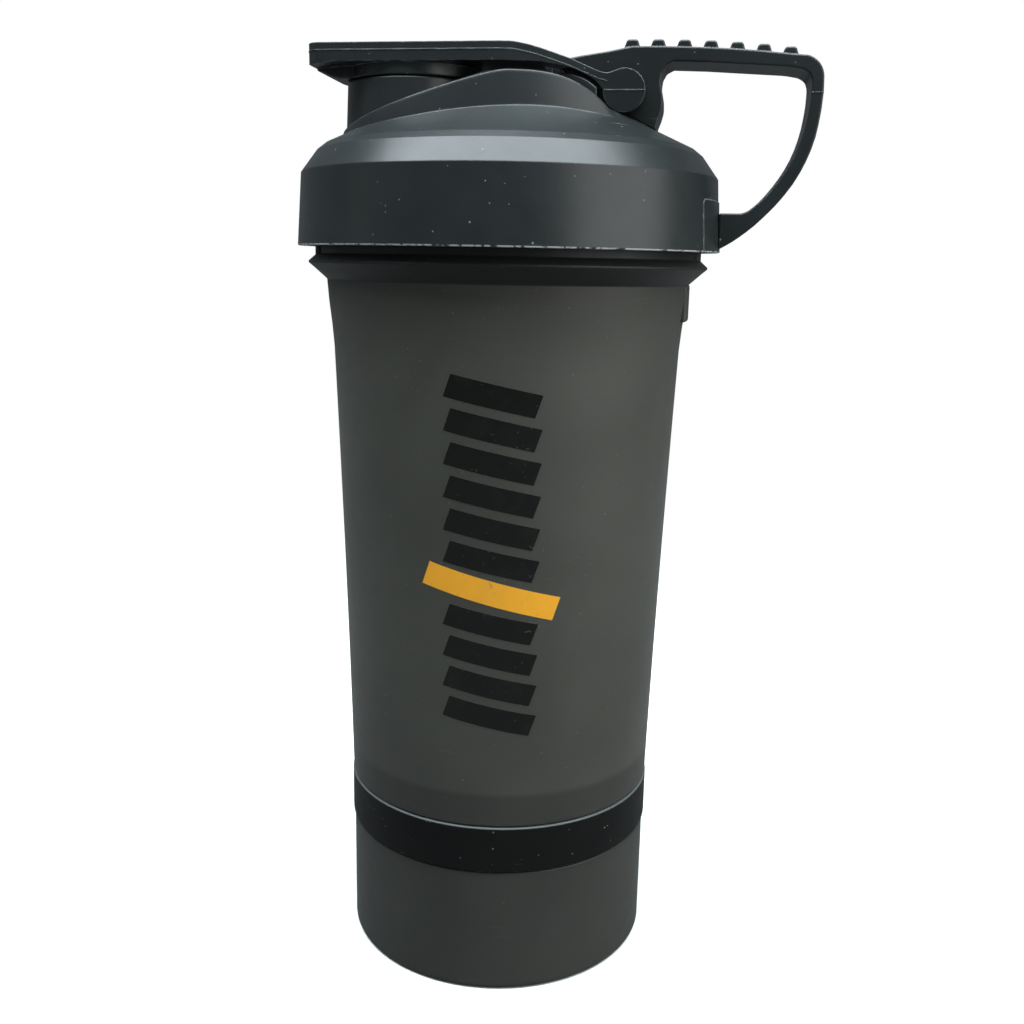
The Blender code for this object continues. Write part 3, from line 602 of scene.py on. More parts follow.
def make_storage_jar():
    neck_top = JAR_HIGH.z
    jar = turned("jar_body", rounded([
        (0, 0), (0.029, 0), (0.0295, 0.0006, 0.0003), (0.0315, 0.0006, 0.0003), (0.032, 0),
        (BASE_RADIUS, 0, 0.0013),
        (BASE_RADIUS, JAR_SHOULDER, 0.0004),
        (JAR_NECK_RADIUS, JAR_SHOULDER, 0.0002),
        (JAR_NECK_RADIUS, neck_top, 0.0004),
        (JAR_NECK_BORE, neck_top, 0.0004),
        (JAR_NECK_BORE, JAR_SHOULDER - 0.001, 0.0006),
        (JAR_INNER_RADIUS, JAR_SHOULDER - 0.0036, 0.0008),
        (JAR_INNER_RADIUS, JAR_FLOOR, 0.0024),
        (0, JAR_FLOOR),
    ]))
    add_thread(jar, JAR_NECK_RADIUS - 0.0006, JAR_NECK_RADIUS + 0.0011, JAR_THREAD_START, 0.9, JAR_LEAD)
    finish_piece(jar, "jar", SMOKE_PLASTIC, "storage_jar")


def seal_ring(name, low, high, inner):
    return flat_ring(name, inner, high.y, low.z, high.z, 0.0004)


def make_storage_seal():
    seal = seal_ring("jar_sealing_ring", JAR_SEAL_LOW, JAR_SEAL_HIGH, JAR_SEAL_HIGH.y - 0.0018)
    finish_piece(seal, "jar_seal", SILICONE, "storage_seal")


def make_connector_collar():
    sleeve = 0.034
    web_bottom = JAR_SEAL_HIGH.z + GAP
    web_top = web_bottom + 0.0018
    top = COLLAR_HIGH.z
    collar = turned("collar_ring", rounded([
        (COLLAR_BORE, COLLAR_LOW.z, 0.0002),
        (COLLAR_RADIUS, COLLAR_LOW.z, 0.0003),
        (COLLAR_RADIUS, COLLAR_TOP, 0.00035),
        (sleeve, COLLAR_TOP, 0.0002),
        (sleeve, SNAP_HEIGHT - 0.0008),
        (sleeve + SNAP_DEPTH, SNAP_HEIGHT, 0.0003),
        (sleeve, SNAP_HEIGHT + 0.0008),
        (sleeve - 0.0002, top, 0.0004),
        (sleeve - 0.0018, top, 0.0004),
        (sleeve - 0.0018, web_top, 0.0006),
        (0.027, web_top, 0.0003),
        (0.027, web_bottom, 0.0003),
        (COLLAR_BORE, web_bottom, 0.0003),
    ]))
    add_thread(collar, COLLAR_BORE + 0.0006, COLLAR_BORE - 0.0012,
               JAR_THREAD_START + JAR_LEAD / 4 - 0.0002, 0.85, JAR_LEAD)
    finish_piece(collar, "cup_body", BLACK_PLASTIC, "connector_collar")


# ----- cup
NECK_THREAD_START = FLANGE_TOP + 0.0047
SIDE_STEPS = 24


def cup_side_radius(height):
    """The cup widens upwards, with a slight waist, and flares under the flange."""
    along = (height - CUP_LOW.z) / (FLANGE_UNDERSIDE - CUP_LOW.z)
    bow = CUP_WAIST * 4 * along * (1 - along)
    flare = min(1, max(0, (height - FLARE_BOTTOM) / (FLANGE_UNDERSIDE - FLARE_BOTTOM)))
    flare = CUP_FLARE * flare * flare * (3 - 2 * flare)
    return CUP_BASE_RADIUS + (CUP_MOUTH_RADIUS - CUP_BASE_RADIUS) * along - bow + flare


def cup_side(low, high, inset):
    """Outline points up or down the cup's side, some way inside it."""
    heights = [low + (high - low) * step / SIDE_STEPS for step in range(SIDE_STEPS + 1)]
    return [(cup_side_radius(height) - inset, height) for height in heights]


def make_cup():
    bottom = CUP_LOW.z
    foot = [(CUP_BASE_RADIUS, bottom, 0.0003)]
    flange = [
        (FLANGE_RADIUS - 0.0012, FLANGE_TOP - 0.0014, 0.003),
        (FLANGE_RADIUS, FLANGE_TOP - 0.0004, 0.0002),
        (FLANGE_RADIUS, FLANGE_TOP, 0.0002),
        (NECK_RADIUS + 0.0005, FLANGE_TOP + 0.0014, 0.0003),
        (NECK_RADIUS, FLANGE_TOP + 0.0014, 0.0002),
        (NECK_RADIUS, NECK_TOP, 0.0005),
        (NECK_BORE, NECK_TOP, 0.0005),
        (NECK_BORE, LEDGE_HEIGHT, 0.0003),
    ]
    floor_radius = cup_side_radius(CUP_FLOOR) - WALL
    bowl = [(floor_radius - 0.0002, CUP_FLOOR + 0.002, 0.0045), (0, CUP_FLOOR + 0.002)]
    socket = [
        (0, CUP_FLOOR),
        (CUP_BASE_BORE, CUP_FLOOR, 0.001),
        (CUP_BASE_BORE, SNAP_HEIGHT + 0.0008),
        (CUP_BASE_BORE + SNAP_DEPTH, SNAP_HEIGHT),
        (CUP_BASE_BORE, SNAP_HEIGHT - 0.0008),
        (CUP_BASE_BORE, bottom, 0.0003),
    ]
    side = cup_side(bottom + 0.001, FLANGE_UNDERSIDE, 0)
    inside = cup_side(FLANGE_UNDERSIDE + 0.002, CUP_FLOOR + 0.007, WALL)
    cup = turned("cup_body_shell", rounded(foot + side + flange + inside + bowl + socket))
    add_thread(cup, NECK_RADIUS - 0.0007, NECK_RADIUS + 0.0012, NECK_THREAD_START, 0.95, LID_LEAD)
    join(cup, make_cup_lug())
    for rib in make_neck_ribs():
        join(cup, rib)
    finish_piece(cup, "cup_body", SMOKE_PLASTIC, "cup")


def make_cup_lug():
    """The raised lug below the flange, on the carry loop's side."""
    half_angle = 10
    proud, sunk, length = 0.0011, 0.0014, 0.008
    outer = arc((0, 0), CUP_MOUTH_RADIUS + proud, -half_angle, half_angle, 24)
    inner = arc((0, 0), CUP_MOUTH_RADIUS - sunk, half_angle, -half_angle, 24)
    return slab("cup_lug", outer + inner, FLANGE_UNDERSIDE - length, FLANGE_UNDERSIDE + 0.0002, 0.0007)


def make_neck_ribs():
    """Three short upright ribs at each of four places in the gap under the skirt."""
    ribs = []
    for centre in (-6.5, 23.5, 173.5, 203.5):
        for offset in (-3.0, 0, 3.0):
            section = arc((NECK_RADIUS, 0), 0.0006, 0, 345, 23)
            rib = slab("neck_rib", section, FLANGE_TOP + 0.0004, SKIRT_BOTTOM + 0.001)
            rib.data.transform(Matrix.Rotation(radians(centre + offset), 4, "Z"))
            ribs.append(rib)
    return ribs


# ----- printed bars on the cup
PRINT_ANGLE = radians(-85)
INK_UNDERSIDE = 0.00002
INK_THICKNESS = 0.00006
COLUMN_WIDTH = 0.0006
ROW_HEIGHT = 0.0012
BAR_COUNT = 11
PRINT_BOTTOM = 0.065
PRINT_TOP = 0.1418
BAR_WIDTH = 0.019
BAR_SLANT = -0.004
AMBER_BAR = 4


def sheet_rim(sheet):
    """The points round a sheet's edge, in order."""
    last, first = [line[-1] for line in sheet[1:-1]], [line[0] for line in sheet[-2:0:-1]]
    return sheet[0] + last + sheet[-1][::-1] + first


def printed_patch(name, width, low, height, slant, material):
    """A thin slanted bar of ink on the cup's side, as a closed shell that follows the curve."""
    columns = max(8, round(width / COLUMN_WIDTH))
    rows = max(2, round(height / ROW_HEIGHT))
    lean = 0.35 * height
    build = bmesh.new()
    sheets = []
    for lift in (INK_UNDERSIDE, INK_THICKNESS):
        sheet = []
        for row in range(rows + 1):
            line = []
            for column in range(columns + 1):
                across = column / columns - 0.5
                z = low + height * row / rows + slant * across
                radius = cup_side_radius(z) + lift
                along = width * across + lean * (row / rows - 0.5)
                angle = PRINT_ANGLE + along / radius
                line.append(build.verts.new((radius * cos(angle), radius * sin(angle), z)))
            sheet.append(line)
        sheets.append(sheet)
    under, over = sheets
    for row in range(rows):
        for column in range(columns):
            for sheet in sheets:
                build.faces.new((sheet[row][column], sheet[row][column + 1],
                                 sheet[row + 1][column + 1], sheet[row + 1][column]))
    rim_under, rim_over = sheet_rim(under), sheet_rim(over)
    for here in range(len(rim_under)):
        after = (here + 1) % len(rim_under)
        build.faces.new((rim_under[here], rim_under[after], rim_over[after], rim_over[here]))
    bar = object_from(build, name)
    bar.data.materials.append(material)
    bar.data.shade_smooth()
    bar.data.set_sharp_from_angle(angle=radians(40))
    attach(bar, "cup_body")


def make_print():
    """A plain stack of slanted gloss bars, with one wider amber bar, where the cup is decorated."""
    pitch = (PRINT_TOP - PRINT_BOTTOM) / BAR_COUNT
    for number in range(BAR_COUNT):
        low = PRINT_BOTTOM + pitch * number
        if number == AMBER_BAR:
            printed_patch("amber_bar", BAR_WIDTH * 1.5, low, pitch * 0.72, BAR_SLANT * 1.8, AMBER_INK)
            continue
        printed_patch(f"print_bar_{number}", BAR_WIDTH, low, pitch * 0.66, BAR_SLANT, BLACK_INK)


# ----- mixing grid and lid seal
GRID_SPOKES = 12


def make_mixing_grid():
    """A rim, two hoops and crossing spokes, in one sieve."""
    bottom = GRID_LOW.z
    rim = GRID_HIGH.z - bottom
    edge = 0.0003
    radius = GRID_HIGH.y
    grid = flat_ring("grid_disc", radius - 0.002, radius, bottom, bottom + rim, edge)
    for inner in (0.0125, 0.0255):
        join(grid, flat_ring("hoop", inner, inner + 0.0016, bottom + 0.0001, bottom + 0.0015, edge))
    reach = radius - 0.0014
    for number in range(GRID_SPOKES // 2):
        spoke = block("spoke", (-reach, -0.0007, bottom + 0.0003), (reach, 0.0007, bottom + 0.0013), 0.0002)
        spoke.data.transform(Matrix.Rotation(tau * (number + 0.5) / GRID_SPOKES, 4, "Z"))
        join(grid, spoke)
    finish_piece(grid, "cup_body", BLACK_PLASTIC, "mixing_grid")


def make_lid_seal():
    seal = seal_ring("lid_sealing_ring", LID_SEAL_LOW, LID_SEAL_HIGH, LID_SEAL_HIGH.y - 0.0027)
    finish_piece(seal, "rim_seal", SILICONE, "lid_seal")


# ----- lid
HUMP_POINTS = 192


def dome_height(radius):
    """The height of the dome's slope at a distance from the bottle's axis."""
    return DOME_EDGE_HEIGHT + (DOME_EDGE_RADIUS - radius) * DOME_SLOPE


def make_lid_shell():
    lid = turned("lid_dome", rounded([
        (0, SKIRT_BOTTOM),
        (SKIRT_RADIUS, SKIRT_BOTTOM, 0.0003),
        (SHOULDER_RADIUS, SKIRT_TOP, 0.0006),
        (CHAMFER_TOP_RADIUS, CHAMFER_TOP, 0.0005),
        (DOME_EDGE_RADIUS, DOME_EDGE_HEIGHT, 0.001),
        (DOME_TOP_RADIUS, dome_height(DOME_TOP_RADIUS)),
        (0, dome_height(DOME_TOP_RADIUS)),
    ]))
    join(lid, make_hump())
    join(lid, make_spine())
    join(lid, make_spout())
    join(lid, make_foot_pad())
    cut(lid, make_lid_cavity())
    mouth = SPOUT_BORE + 0.0006
    bore = about_spout("bore", [
        (0, 0.18), (SPOUT_BORE, 0.18), (SPOUT_BORE, SPOUT_TOP - 0.0004),
        (mouth, SPOUT_TOP + 0.0002), (mouth, 0.21), (0, 0.21)])
    cut(lid, bore)
    cut(lid, make_lug_pocket())
    reach = ARM_OUTER + 0.0007
    cut(lid, cross_pin("hinge_relief", BARREL_RADIUS + 0.0006, -reach, reach))
    foot_pocket = block("foot_pocket", (SKIRT_RADIUS - 0.0014, -0.0043, SKIRT_BOTTOM + 0.0029),
                        (SKIRT_RADIUS + 0.0025, 0.0043, SKIRT_BOTTOM + 0.0082))
    cut(lid, foot_pocket)
    add_thread(lid, LID_BORE + 0.0006, LID_BORE - 0.0013, NECK_THREAD_START + LID_LEAD / 4, 0.75, LID_LEAD)
    finish_piece(lid, "lid_body", LID_PLASTIC, "lid_shell")


def make_lid_cavity():
    """The room inside the lid, round the lip that fits in the cup's mouth."""
    below = SKIRT_BOTTOM - 0.002
    return turned("lid_cavity", rounded([
        (0, below),
        (LID_BORE, below),
        (LID_BORE, LID_CEILING, 0.0006),
        (LIP_OUTER, LID_CEILING, 0.0003),
        (LIP_OUTER, LIP_BOTTOM, 0.0003),
        (LIP_INNER, LIP_BOTTOM, 0.0003),
        (LIP_INNER, LID_CEILING + 0.0031, 0.0008),
        (0.038, LID_CEILING + 0.0044, 0.001),
        (0.012, LID_CEILING + 0.0136, 0.004),
        (0, LID_CEILING + 0.0141),
    ]))


def arch_height(x):
    """The height of the top edge of the hump's side wall."""
    along = x - ARCH_X
    if along > 0:
        return ARCH_TOP - ARCH_SPREAD * ARCH_ROUND - ARCH_END * along ** 3
    return ARCH_TOP + ARCH_LEAN * along - ARCH_SPREAD * hypot(along, ARCH_ROUND)


def eased(before, corner, after, reach):
    """Three points that round a corner between its neighbours."""
    first = corner + (before - corner).normalized() * min(reach, 0.45 * (before - corner).length)
    last = corner + (after - corner).normalized() * min(reach, 0.45 * (after - corner).length)
    return [first, (first + last) / 4 + corner / 2, last]


def hump_column(step):
    """Points from under the dome, over the foot, up the side wall and onto the deck."""
    angle = tau * step / HUMP_POINTS
    along, across = cos(angle), sin(angle)
    foot = Vector((HUMP_X + HUMP_HALF_LENGTH * along, (HUMP_HALF_WIDTH - HUMP_TAPER * along) * across, 0))
    foot.z = dome_height(max(DOME_TOP_RADIUS, foot.length)) - 0.0002
    deck = Vector((DECK_X + DECK_HALF_LENGTH * along, DECK_HALF_WIDTH * across, 0))
    deck.z = min(DECK_HEIGHT, RAMP_AT_AXIS + RAMP_SLOPE * deck.x)
    base_share = WALL_SHARE_AT_ENDS + WALL_SHARE_AT_SIDES * across * across
    base = foot.lerp(deck, base_share)
    top = foot.lerp(deck, base_share + WALL_LEAN)
    top.z = max(top.z, arch_height(top.x))
    flat = Vector((deck.x - 0.002 * along, deck.y - 0.002 * across, 0))
    flat.z = min(DECK_HEIGHT, RAMP_AT_AXIS + RAMP_SLOPE * flat.x)
    return [foot - Vector((0, 0, 0.0014)), foot, *eased(foot, base, top, 0.0004),
            *eased(base, top, deck, 0.0008), *eased(top, deck, flat, 0.0009)]


def make_hump():
    """The raised deck between spout and hinge: its steep sides arch up under the cap."""
    build = bmesh.new()
    columns = [[build.verts.new(point) for point in hump_column(step)] for step in range(HUMP_POINTS)]
    for here, after in zip(columns, columns[1:] + columns[:1]):
        for level in range(len(here) - 1):
            build.faces.new((here[level], after[level], after[level + 1], here[level + 1]))
    for level, height in ((0, dome_height(DOME_TOP_RADIUS) - 0.006), (-1, DECK_HEIGHT)):
        middle = build.verts.new((DECK_X / 2, 0, height))
        for here, after in zip(columns, columns[1:] + columns[:1]):
            build.faces.new((here[level], after[level], middle))
    hump = object_from(build, "lid_hump")
    room = about_spout("shroud_room", rounded([
        (0, SPOUT_SHOULDER - 0.0002), (SPOUT_RADIUS + 0.0006, SPOUT_SHOULDER - 0.0002, 0.0003),
        (SPOUT_RADIUS + 0.0006, 0.21), (0, 0.21)]))
    return cut(hump, room)


def make_spine():
    """Carries the deck on under the flip cap's arms, as far as the hinge."""
    outline = rounded([(-0.006, 0.19), (-0.006, DECK_HEIGHT), (0.014, DECK_HEIGHT, 0.006),
                       (0.0176, 0.2016, 0.006), (0.02, 0.1998, 0.0004), (0.0203, 0.19)])
    return prism("lid_spine", outline, -SPINE_HALF_WIDTH, SPINE_HALF_WIDTH, 0.0006)


def make_spout():
    rim = SPOUT_RADIUS - 0.0012
    buried = DOME_EDGE_HEIGHT - 0.0009
    return about_spout("spout_tube", rounded([
        (0, buried),
        (SPOUT_RADIUS + 0.0006, buried),
        (SPOUT_RADIUS, SPOUT_SHOULDER, 0.0003),
        (rim, SPOUT_SHOULDER, 0.0002),
        (rim, SPOUT_TOP, 0.0005),
        (0, SPOUT_TOP),
    ]))


def make_foot_pad():
    """The slightly raised pad on the skirt that the carry loop's foot sits on."""
    half_angle = 22.5
    top = SKIRT_BOTTOM + 0.0109
    proud = 0.0002
    taper = (SKIRT_RADIUS - SHOULDER_RADIUS) / (SKIRT_TOP - SKIRT_BOTTOM)
    rings = []
    for z in (SKIRT_BOTTOM + 0.0001, top):
        outer = arc((0, 0), SKIRT_RADIUS + proud - taper * (z - SKIRT_BOTTOM), -half_angle, half_angle, 42)
        inner = arc((0, 0), SKIRT_RADIUS - 0.0016, half_angle, -half_angle, 42)
        rings.append([(x, y, z) for x, y in outer + inner])
    pad = loft("foot_pad", rings)
    half = SKIRT_RADIUS * sin(radians(half_angle)) - 0.0001
    front = slab("pad_front", rounded([
        (-half, SKIRT_BOTTOM - 0.001), (half, SKIRT_BOTTOM - 0.001),
        (half, top - 0.0001, 0.0016), (-half, top - 0.0001, 0.0016)]), 0.03, 0.06)
    front.data.transform(Matrix(((0, 0, 1, 0), (1, 0, 0, 0), (0, 1, 0, 0), (0, 0, 0, 1))))
    return soften(combine(pad, front, "INTERSECT"), 0.00008, 2)


def make_lug_pocket():
    """The seat for the carry loop's lug, in the deck and the dome behind it."""
    outline = (
        (HINGE_X - 0.0094, HINGE_Z + 0.0001), (HINGE_X + 0.0073, HINGE_Z - 0.0085),
        (HINGE_X + 0.0075, HINGE_Z - 0.0069), (HINGE_X + 0.0087, HINGE_Z - 0.0051),
        (HINGE_X + 0.0087, HINGE_Z + 0.0157), (HINGE_X - 0.0177, HINGE_Z + 0.0157),
        (HINGE_X - 0.0177, HINGE_Z + 0.0037), (HINGE_X - 0.0108, HINGE_Z + 0.0017),
    )
    return prism("lug_pocket", outline, -LOOP_HALF_WIDTH - GAP, LOOP_HALF_WIDTH + GAP)


# ----- carry loop
def bar_top(x):
    """The bar bows down from the hinge to its far end."""
    along = x - RIDGE_FIRST_X
    return BAR_TOP - along * along * (1.05 + 15 * along)


def loop_outline():
    """The loop from the side: over the bar, down the arm to the foot, and back round the finger gap."""
    bar_length = LOOP_REACH - 0.0073 - RIDGE_FIRST_X
    bar = [(x, bar_top(x)) for x in (RIDGE_FIRST_X + bar_length * step / 12 for step in range(13))]
    bend = arc((LOOP_REACH - 0.0049, 0.2022), 0.0048, 75, 5, 10)
    outside = [
        (0.0671, 0.1996, 0.02), (0.0669, 0.196, 0.02), (0.0662, 0.1904, 0.03), (0.0646, 0.1856, 0.03),
        (0.0622, 0.1808, 0.03), (0.0587, 0.1763, 0.03), (0.0545, 0.172, 0.03), (0.0502, 0.1687, 0.03),
        (0.047, 0.1669),
    ]
    inside = [
        (0.047, 0.1747), (0.0524, 0.1747, 0.004), (0.0558, 0.1775, 0.02), (0.0587, 0.1811, 0.03),
        (0.0611, 0.1848, 0.03), (0.0629, 0.1889, 0.03), (0.064, 0.1933, 0.03), (0.0646, 0.1982, 0.03),
        (0.0646, 0.2016, 0.004), (0.0641, 0.2031, 0.002), (0.0626, 0.204, 0.003), (0.0596, 0.2045, 0.01),
        (0.05, bar_top(0.05) - BAR_THICKNESS, 0.03), (0.043, bar_top(0.043) - BAR_THICKNESS, 0.03),
        (0.0356, bar_top(0.0356) - BAR_THICKNESS, 0.0012),
    ]
    lug = [
        (0.0341, 0.2049, 0.001), (0.0333, 0.2034, 0.002), (0.0331, 0.2012, 0.004), (0.0337, 0.199, 0.004),
        (0.0338, 0.1968, 0.004), (0.0333, 0.1948, 0.004), (0.0327, 0.1932), (0.0326, 0.1915),
        (0.0168, 0.1996), (0.0155, 0.2014), (0.0105, 0.2052), (0.0105, 0.206, 0.0004),
        (0.016, 0.207, 0.02), (0.0215, 0.2078, 0.02),
    ]
    return rounded(bar + bend + outside + inside + lug, radians(8))


def make_grip_ridge(number):
    x = RIDGE_FIRST_X + RIDGE_PITCH * number
    top = bar_top(x) + RIDGE_RISE
    sunk = bar_top(x) - 0.0008
    outline = rounded([(x - 0.0019, sunk), (x + 0.0019, sunk), (x + 0.0011, top, 0.0007),
                       (x - 0.0011, top, 0.0007)])
    inset = 0.0003
    return prism("ridge", outline, inset - LOOP_HALF_WIDTH, LOOP_HALF_WIDTH - inset, 0.0004)


def make_carry_loop():
    loop = prism("loop_handle", loop_outline(), -LOOP_HALF_WIDTH, LOOP_HALF_WIDTH, 0.0008)
    for number in range(RIDGE_COUNT):
        join(loop, make_grip_ridge(number))
    seam = 0.00007
    reach = LOOP_HALF_WIDTH + seam
    join(loop, block("seam", (0.0646, -reach, HINGE_Z), (LOOP_REACH, reach, HINGE_Z + 2 * seam)))
    skirt_room = turned("skirt_room", [(0, SKIRT_BOTTOM), (SKIRT_RADIUS + 0.0004, SKIRT_BOTTOM),
                                       (SHOULDER_RADIUS + 0.0004, SKIRT_TOP), (0, SKIRT_TOP)])
    cut(loop, skirt_room)
    tongue = block("foot_tongue", (SKIRT_RADIUS - 0.0011, -0.004, SKIRT_BOTTOM + 0.0032),
                   (SKIRT_RADIUS + 0.002, 0.004, SKIRT_BOTTOM + 0.0079))
    join(loop, tongue)
    cut(loop, cross_pin("pin_hole", TRUNNION_RADIUS + 0.00006, -0.01, 0.01))
    finish_piece(loop, "lid_body", LID_PLASTIC, "carry_loop")


# ----- flip cap and its plug
def cap_top_line(drop=0.0):
    """Along the plate and down the arm, some way below the cap's top."""
    line = [
        (TAB_END, 0, 0.0004), (0.0025, 0, 0.012), (0.0056, 0.0005, 0.02), (0.0084, 0.0012, 0.02),
        (0.014, 0.0029, 0.03), (0.0176, 0.0043, 0.02), (0.02, 0.0053, 0.006), (0.022, 0.0058, 0.002),
    ]
    return [(x, PLATE_TOP - fall - drop, corner) for x, fall, corner in line]


def cap_side_outline():
    """The cap from the side: along the plate, down the arm, round the barrel and back underneath."""
    barrel = arc((HINGE_X, HINGE_Z), BARREL_RADIUS, 115, -180, 48)
    under = [(HINGE_X - 0.0051, HINGE_Z + 0.0009), (0.0195, 0.2013, 0.003), (0.0176, 0.2024, 0.01),
             (0.014, 0.2039, 0.02), (0.008, PLATE_BOTTOM, 0.01), (-0.036, PLATE_BOTTOM, 0.003),
             (TAB_END, PLATE_BOTTOM - 0.0006, 0.0006)]
    return rounded(cap_top_line() + barrel + under, radians(8))


def cap_top_outline(grow=0.0):
    """The cap from above: a round-cornered plate that narrows to the hinge arms."""
    half = PLATE_HALF_WIDTH + grow
    arm = ARM_OUTER + grow
    end = HINGE_X + BARREL_RADIUS + grow + (0.0098 if grow == 0 else 0)
    near = [(TAB_END - grow, -half, 0.0035), (0.0000, -half, 0.02), (0.019, -arm, 0.02), (end, -arm)]
    far = [(x, -y, *corner) for x, y, *corner in reversed(near)]
    return rounded(near + far, radians(8))


def soften_top(piece, width, share):
    """Rounds sharp edges by a width where they border an upward face, and by a share of it elsewhere."""
    build = bmesh.new()
    build.from_mesh(piece.data)
    weights = build.edges.layers.float.new("bevel_weight_edge")
    for edge in build.edges:
        if len(edge.link_faces) == 2 and edge.calc_face_angle() > radians(50):
            upward = max(face.normal.z for face in edge.link_faces)
            edge[weights] = share + (1 - share) * min(1, max(0, upward / 0.7))
    build.to_mesh(piece.data)
    build.free()
    bevel = piece.modifiers.new("bevel", "BEVEL")
    bevel.width = width
    bevel.segments = 5
    bevel.limit_method = "WEIGHT"
    return bake(piece)


def make_cap_seam():
    """The fine moulding seam along the cap's side and across its barrels."""
    proud = 0.00008
    drop = 0.0015
    below = [(x, z - 2 * proud) for x, z, corner in cap_top_line(drop)]
    seam = prism("seam", [(x, z) for x, z, corner in cap_top_line(drop)] + below[::-1],
                 -PLATE_HALF_WIDTH - 0.002, PLATE_HALF_WIDTH + 0.002)
    combine(seam, slab("seam_outline", cap_top_outline(proud), CAP_CUT_LOW, CAP_CUT_HIGH), "INTERSECT")
    reach = ARM_OUTER + proud
    across = block("across", (HINGE_X - BARREL_RADIUS + 0.0002, -reach, HINGE_Z - proud),
                   (HINGE_X + BARREL_RADIUS - 0.0001, reach, HINGE_Z + proud))
    return join(seam, across)


def make_flip_cap():
    cap = prism("cap_plate", cap_side_outline(), -PLATE_HALF_WIDTH, PLATE_HALF_WIDTH)
    combine(cap, slab("cap_outline", cap_top_outline(), CAP_CUT_LOW, CAP_CUT_HIGH), "INTERSECT")
    slot_low, slot_high = (0.0082, -ARM_INNER, CAP_CUT_LOW), (0.04, ARM_INNER, CAP_CUT_HIGH)
    cut(cap, block("arm_slot", slot_low, slot_high))
    soften_top(cap, 0.0013, 0.3)
    wide_low = (slot_low[0] - 0.002, slot_low[1] - 0.001, slot_low[2])
    wide_high = (slot_high[0], slot_high[1] + 0.001, slot_high[2])
    seam = cut(make_cap_seam(), block("arm_slot", wide_low, wide_high))
    join(cap, seam)
    shroud = about_spout("cap_shroud", rounded([
        (SHROUD_INNER, SHROUD_BOTTOM, 0.0002), (SPOUT_RADIUS, SHROUD_BOTTOM, 0.0003),
        (SPOUT_RADIUS, PLATE_BOTTOM + 0.001), (SHROUD_INNER, PLATE_BOTTOM + 0.001),
    ]))
    join(cap, shroud)
    join(cap, make_thumb_wedge())
    boss = about_spout("plug_boss", rounded([
        (0, BOSS_BOTTOM), (BOSS_RADIUS, BOSS_BOTTOM, 0.0004),
        (BOSS_RADIUS, PLATE_BOTTOM + 0.001), (0, PLATE_BOTTOM + 0.001)]), 96)
    join(cap, boss)
    for side in (-1, 1):
        ends = sorted((side * 0.0046, side * (ARM_INNER + 0.001)))
        join(cap, cross_pin("trunnion", TRUNNION_RADIUS, *ends, edge=0.0002))
    finish_piece(cap, "cap_body", LID_PLASTIC, "flip_cap")


def make_thumb_wedge():
    """Fills the corner between the thumb tab and the shroud with a concave sweep."""
    wall = SPOUT_X - SPOUT_RADIUS
    half_width = 0.0095
    outline = rounded([
        (TAB_END + 0.0006, PLATE_BOTTOM + 0.0005), (TAB_END + 0.0006, PLATE_BOTTOM - 0.001, 0.0005),
        (wall - 0.0033, PLATE_BOTTOM - 0.0015, 0.004), (wall - 0.0017, PLATE_BOTTOM - 0.0022, 0.002),
        (wall + 0.0003, SHROUD_BOTTOM), (wall + 0.005, SHROUD_BOTTOM),
        (wall + 0.005, PLATE_BOTTOM + 0.0005),
    ])
    wedge = prism("thumb_wedge", outline, -half_width, half_width, 0.0004)
    room = about_spout("wedge_room", [
        (0, 0.2), (SPOUT_RADIUS - 0.0004, 0.2), (SPOUT_RADIUS - 0.0004, 0.21), (0, 0.21)])
    return cut(wedge, room)


def make_spout_plug():
    """A cup-shaped soft plug, pushed over the boss under the cap."""
    boss_room = BOSS_RADIUS + GAP
    plug = about_spout("plug_cup", rounded([
        (0, PLUG_LOW.z),
        (PLUG_RADIUS, PLUG_LOW.z, 0.001),
        (PLUG_RADIUS, PLUG_HIGH.z, 0.0003),
        (boss_room, PLUG_HIGH.z, 0.0003),
        (boss_room, BOSS_BOTTOM - GAP, 0.0003),
        (0, BOSS_BOTTOM - GAP),
    ]))
    finish_piece(plug, "cap_body", SILICONE, "spout_plug")


# ----- camera, light and floor
LENS = 39.356
CAMERA_DISTANCE = 0.263782
CAMERA_HEIGHT = 0.1637
CAMERA_SIDE = 0.0019486
CAMERA_AZIMUTH = radians(8.5)
CAMERA_PITCH = 0.220192
CAMERA_ROLL = 0.0192696
BACKDROP = (1.0, 1.0, 1.0)


def make_camera():
    """The photograph's viewing angle."""
    turn = Matrix.Rotation(CAMERA_AZIMUTH, 3, "Z")
    place = turn @ Vector((CAMERA_SIDE, -CAMERA_DISTANCE, CAMERA_HEIGHT))
    forward = turn @ Vector((0, cos(CAMERA_PITCH), -sin(CAMERA_PITCH)))
    right = turn @ Vector((1, 0, 0))
    up = right.cross(forward)
    rolled_right = right * cos(CAMERA_ROLL) + up * sin(CAMERA_ROLL)
    rolled_up = up * cos(CAMERA_ROLL) - right * sin(CAMERA_ROLL)
    data = bpy.data.cameras.new("camera")
    data.lens = LENS
    data.clip_start = 0.01
    camera = bpy.data.objects.new("camera", data)
    camera.matrix_world = Matrix((*zip(rolled_right, rolled_up, -forward, place), (0, 0, 0, 1)))
    bpy.context.scene.collection.objects.link(camera)
    bpy.context.scene.camera = camera


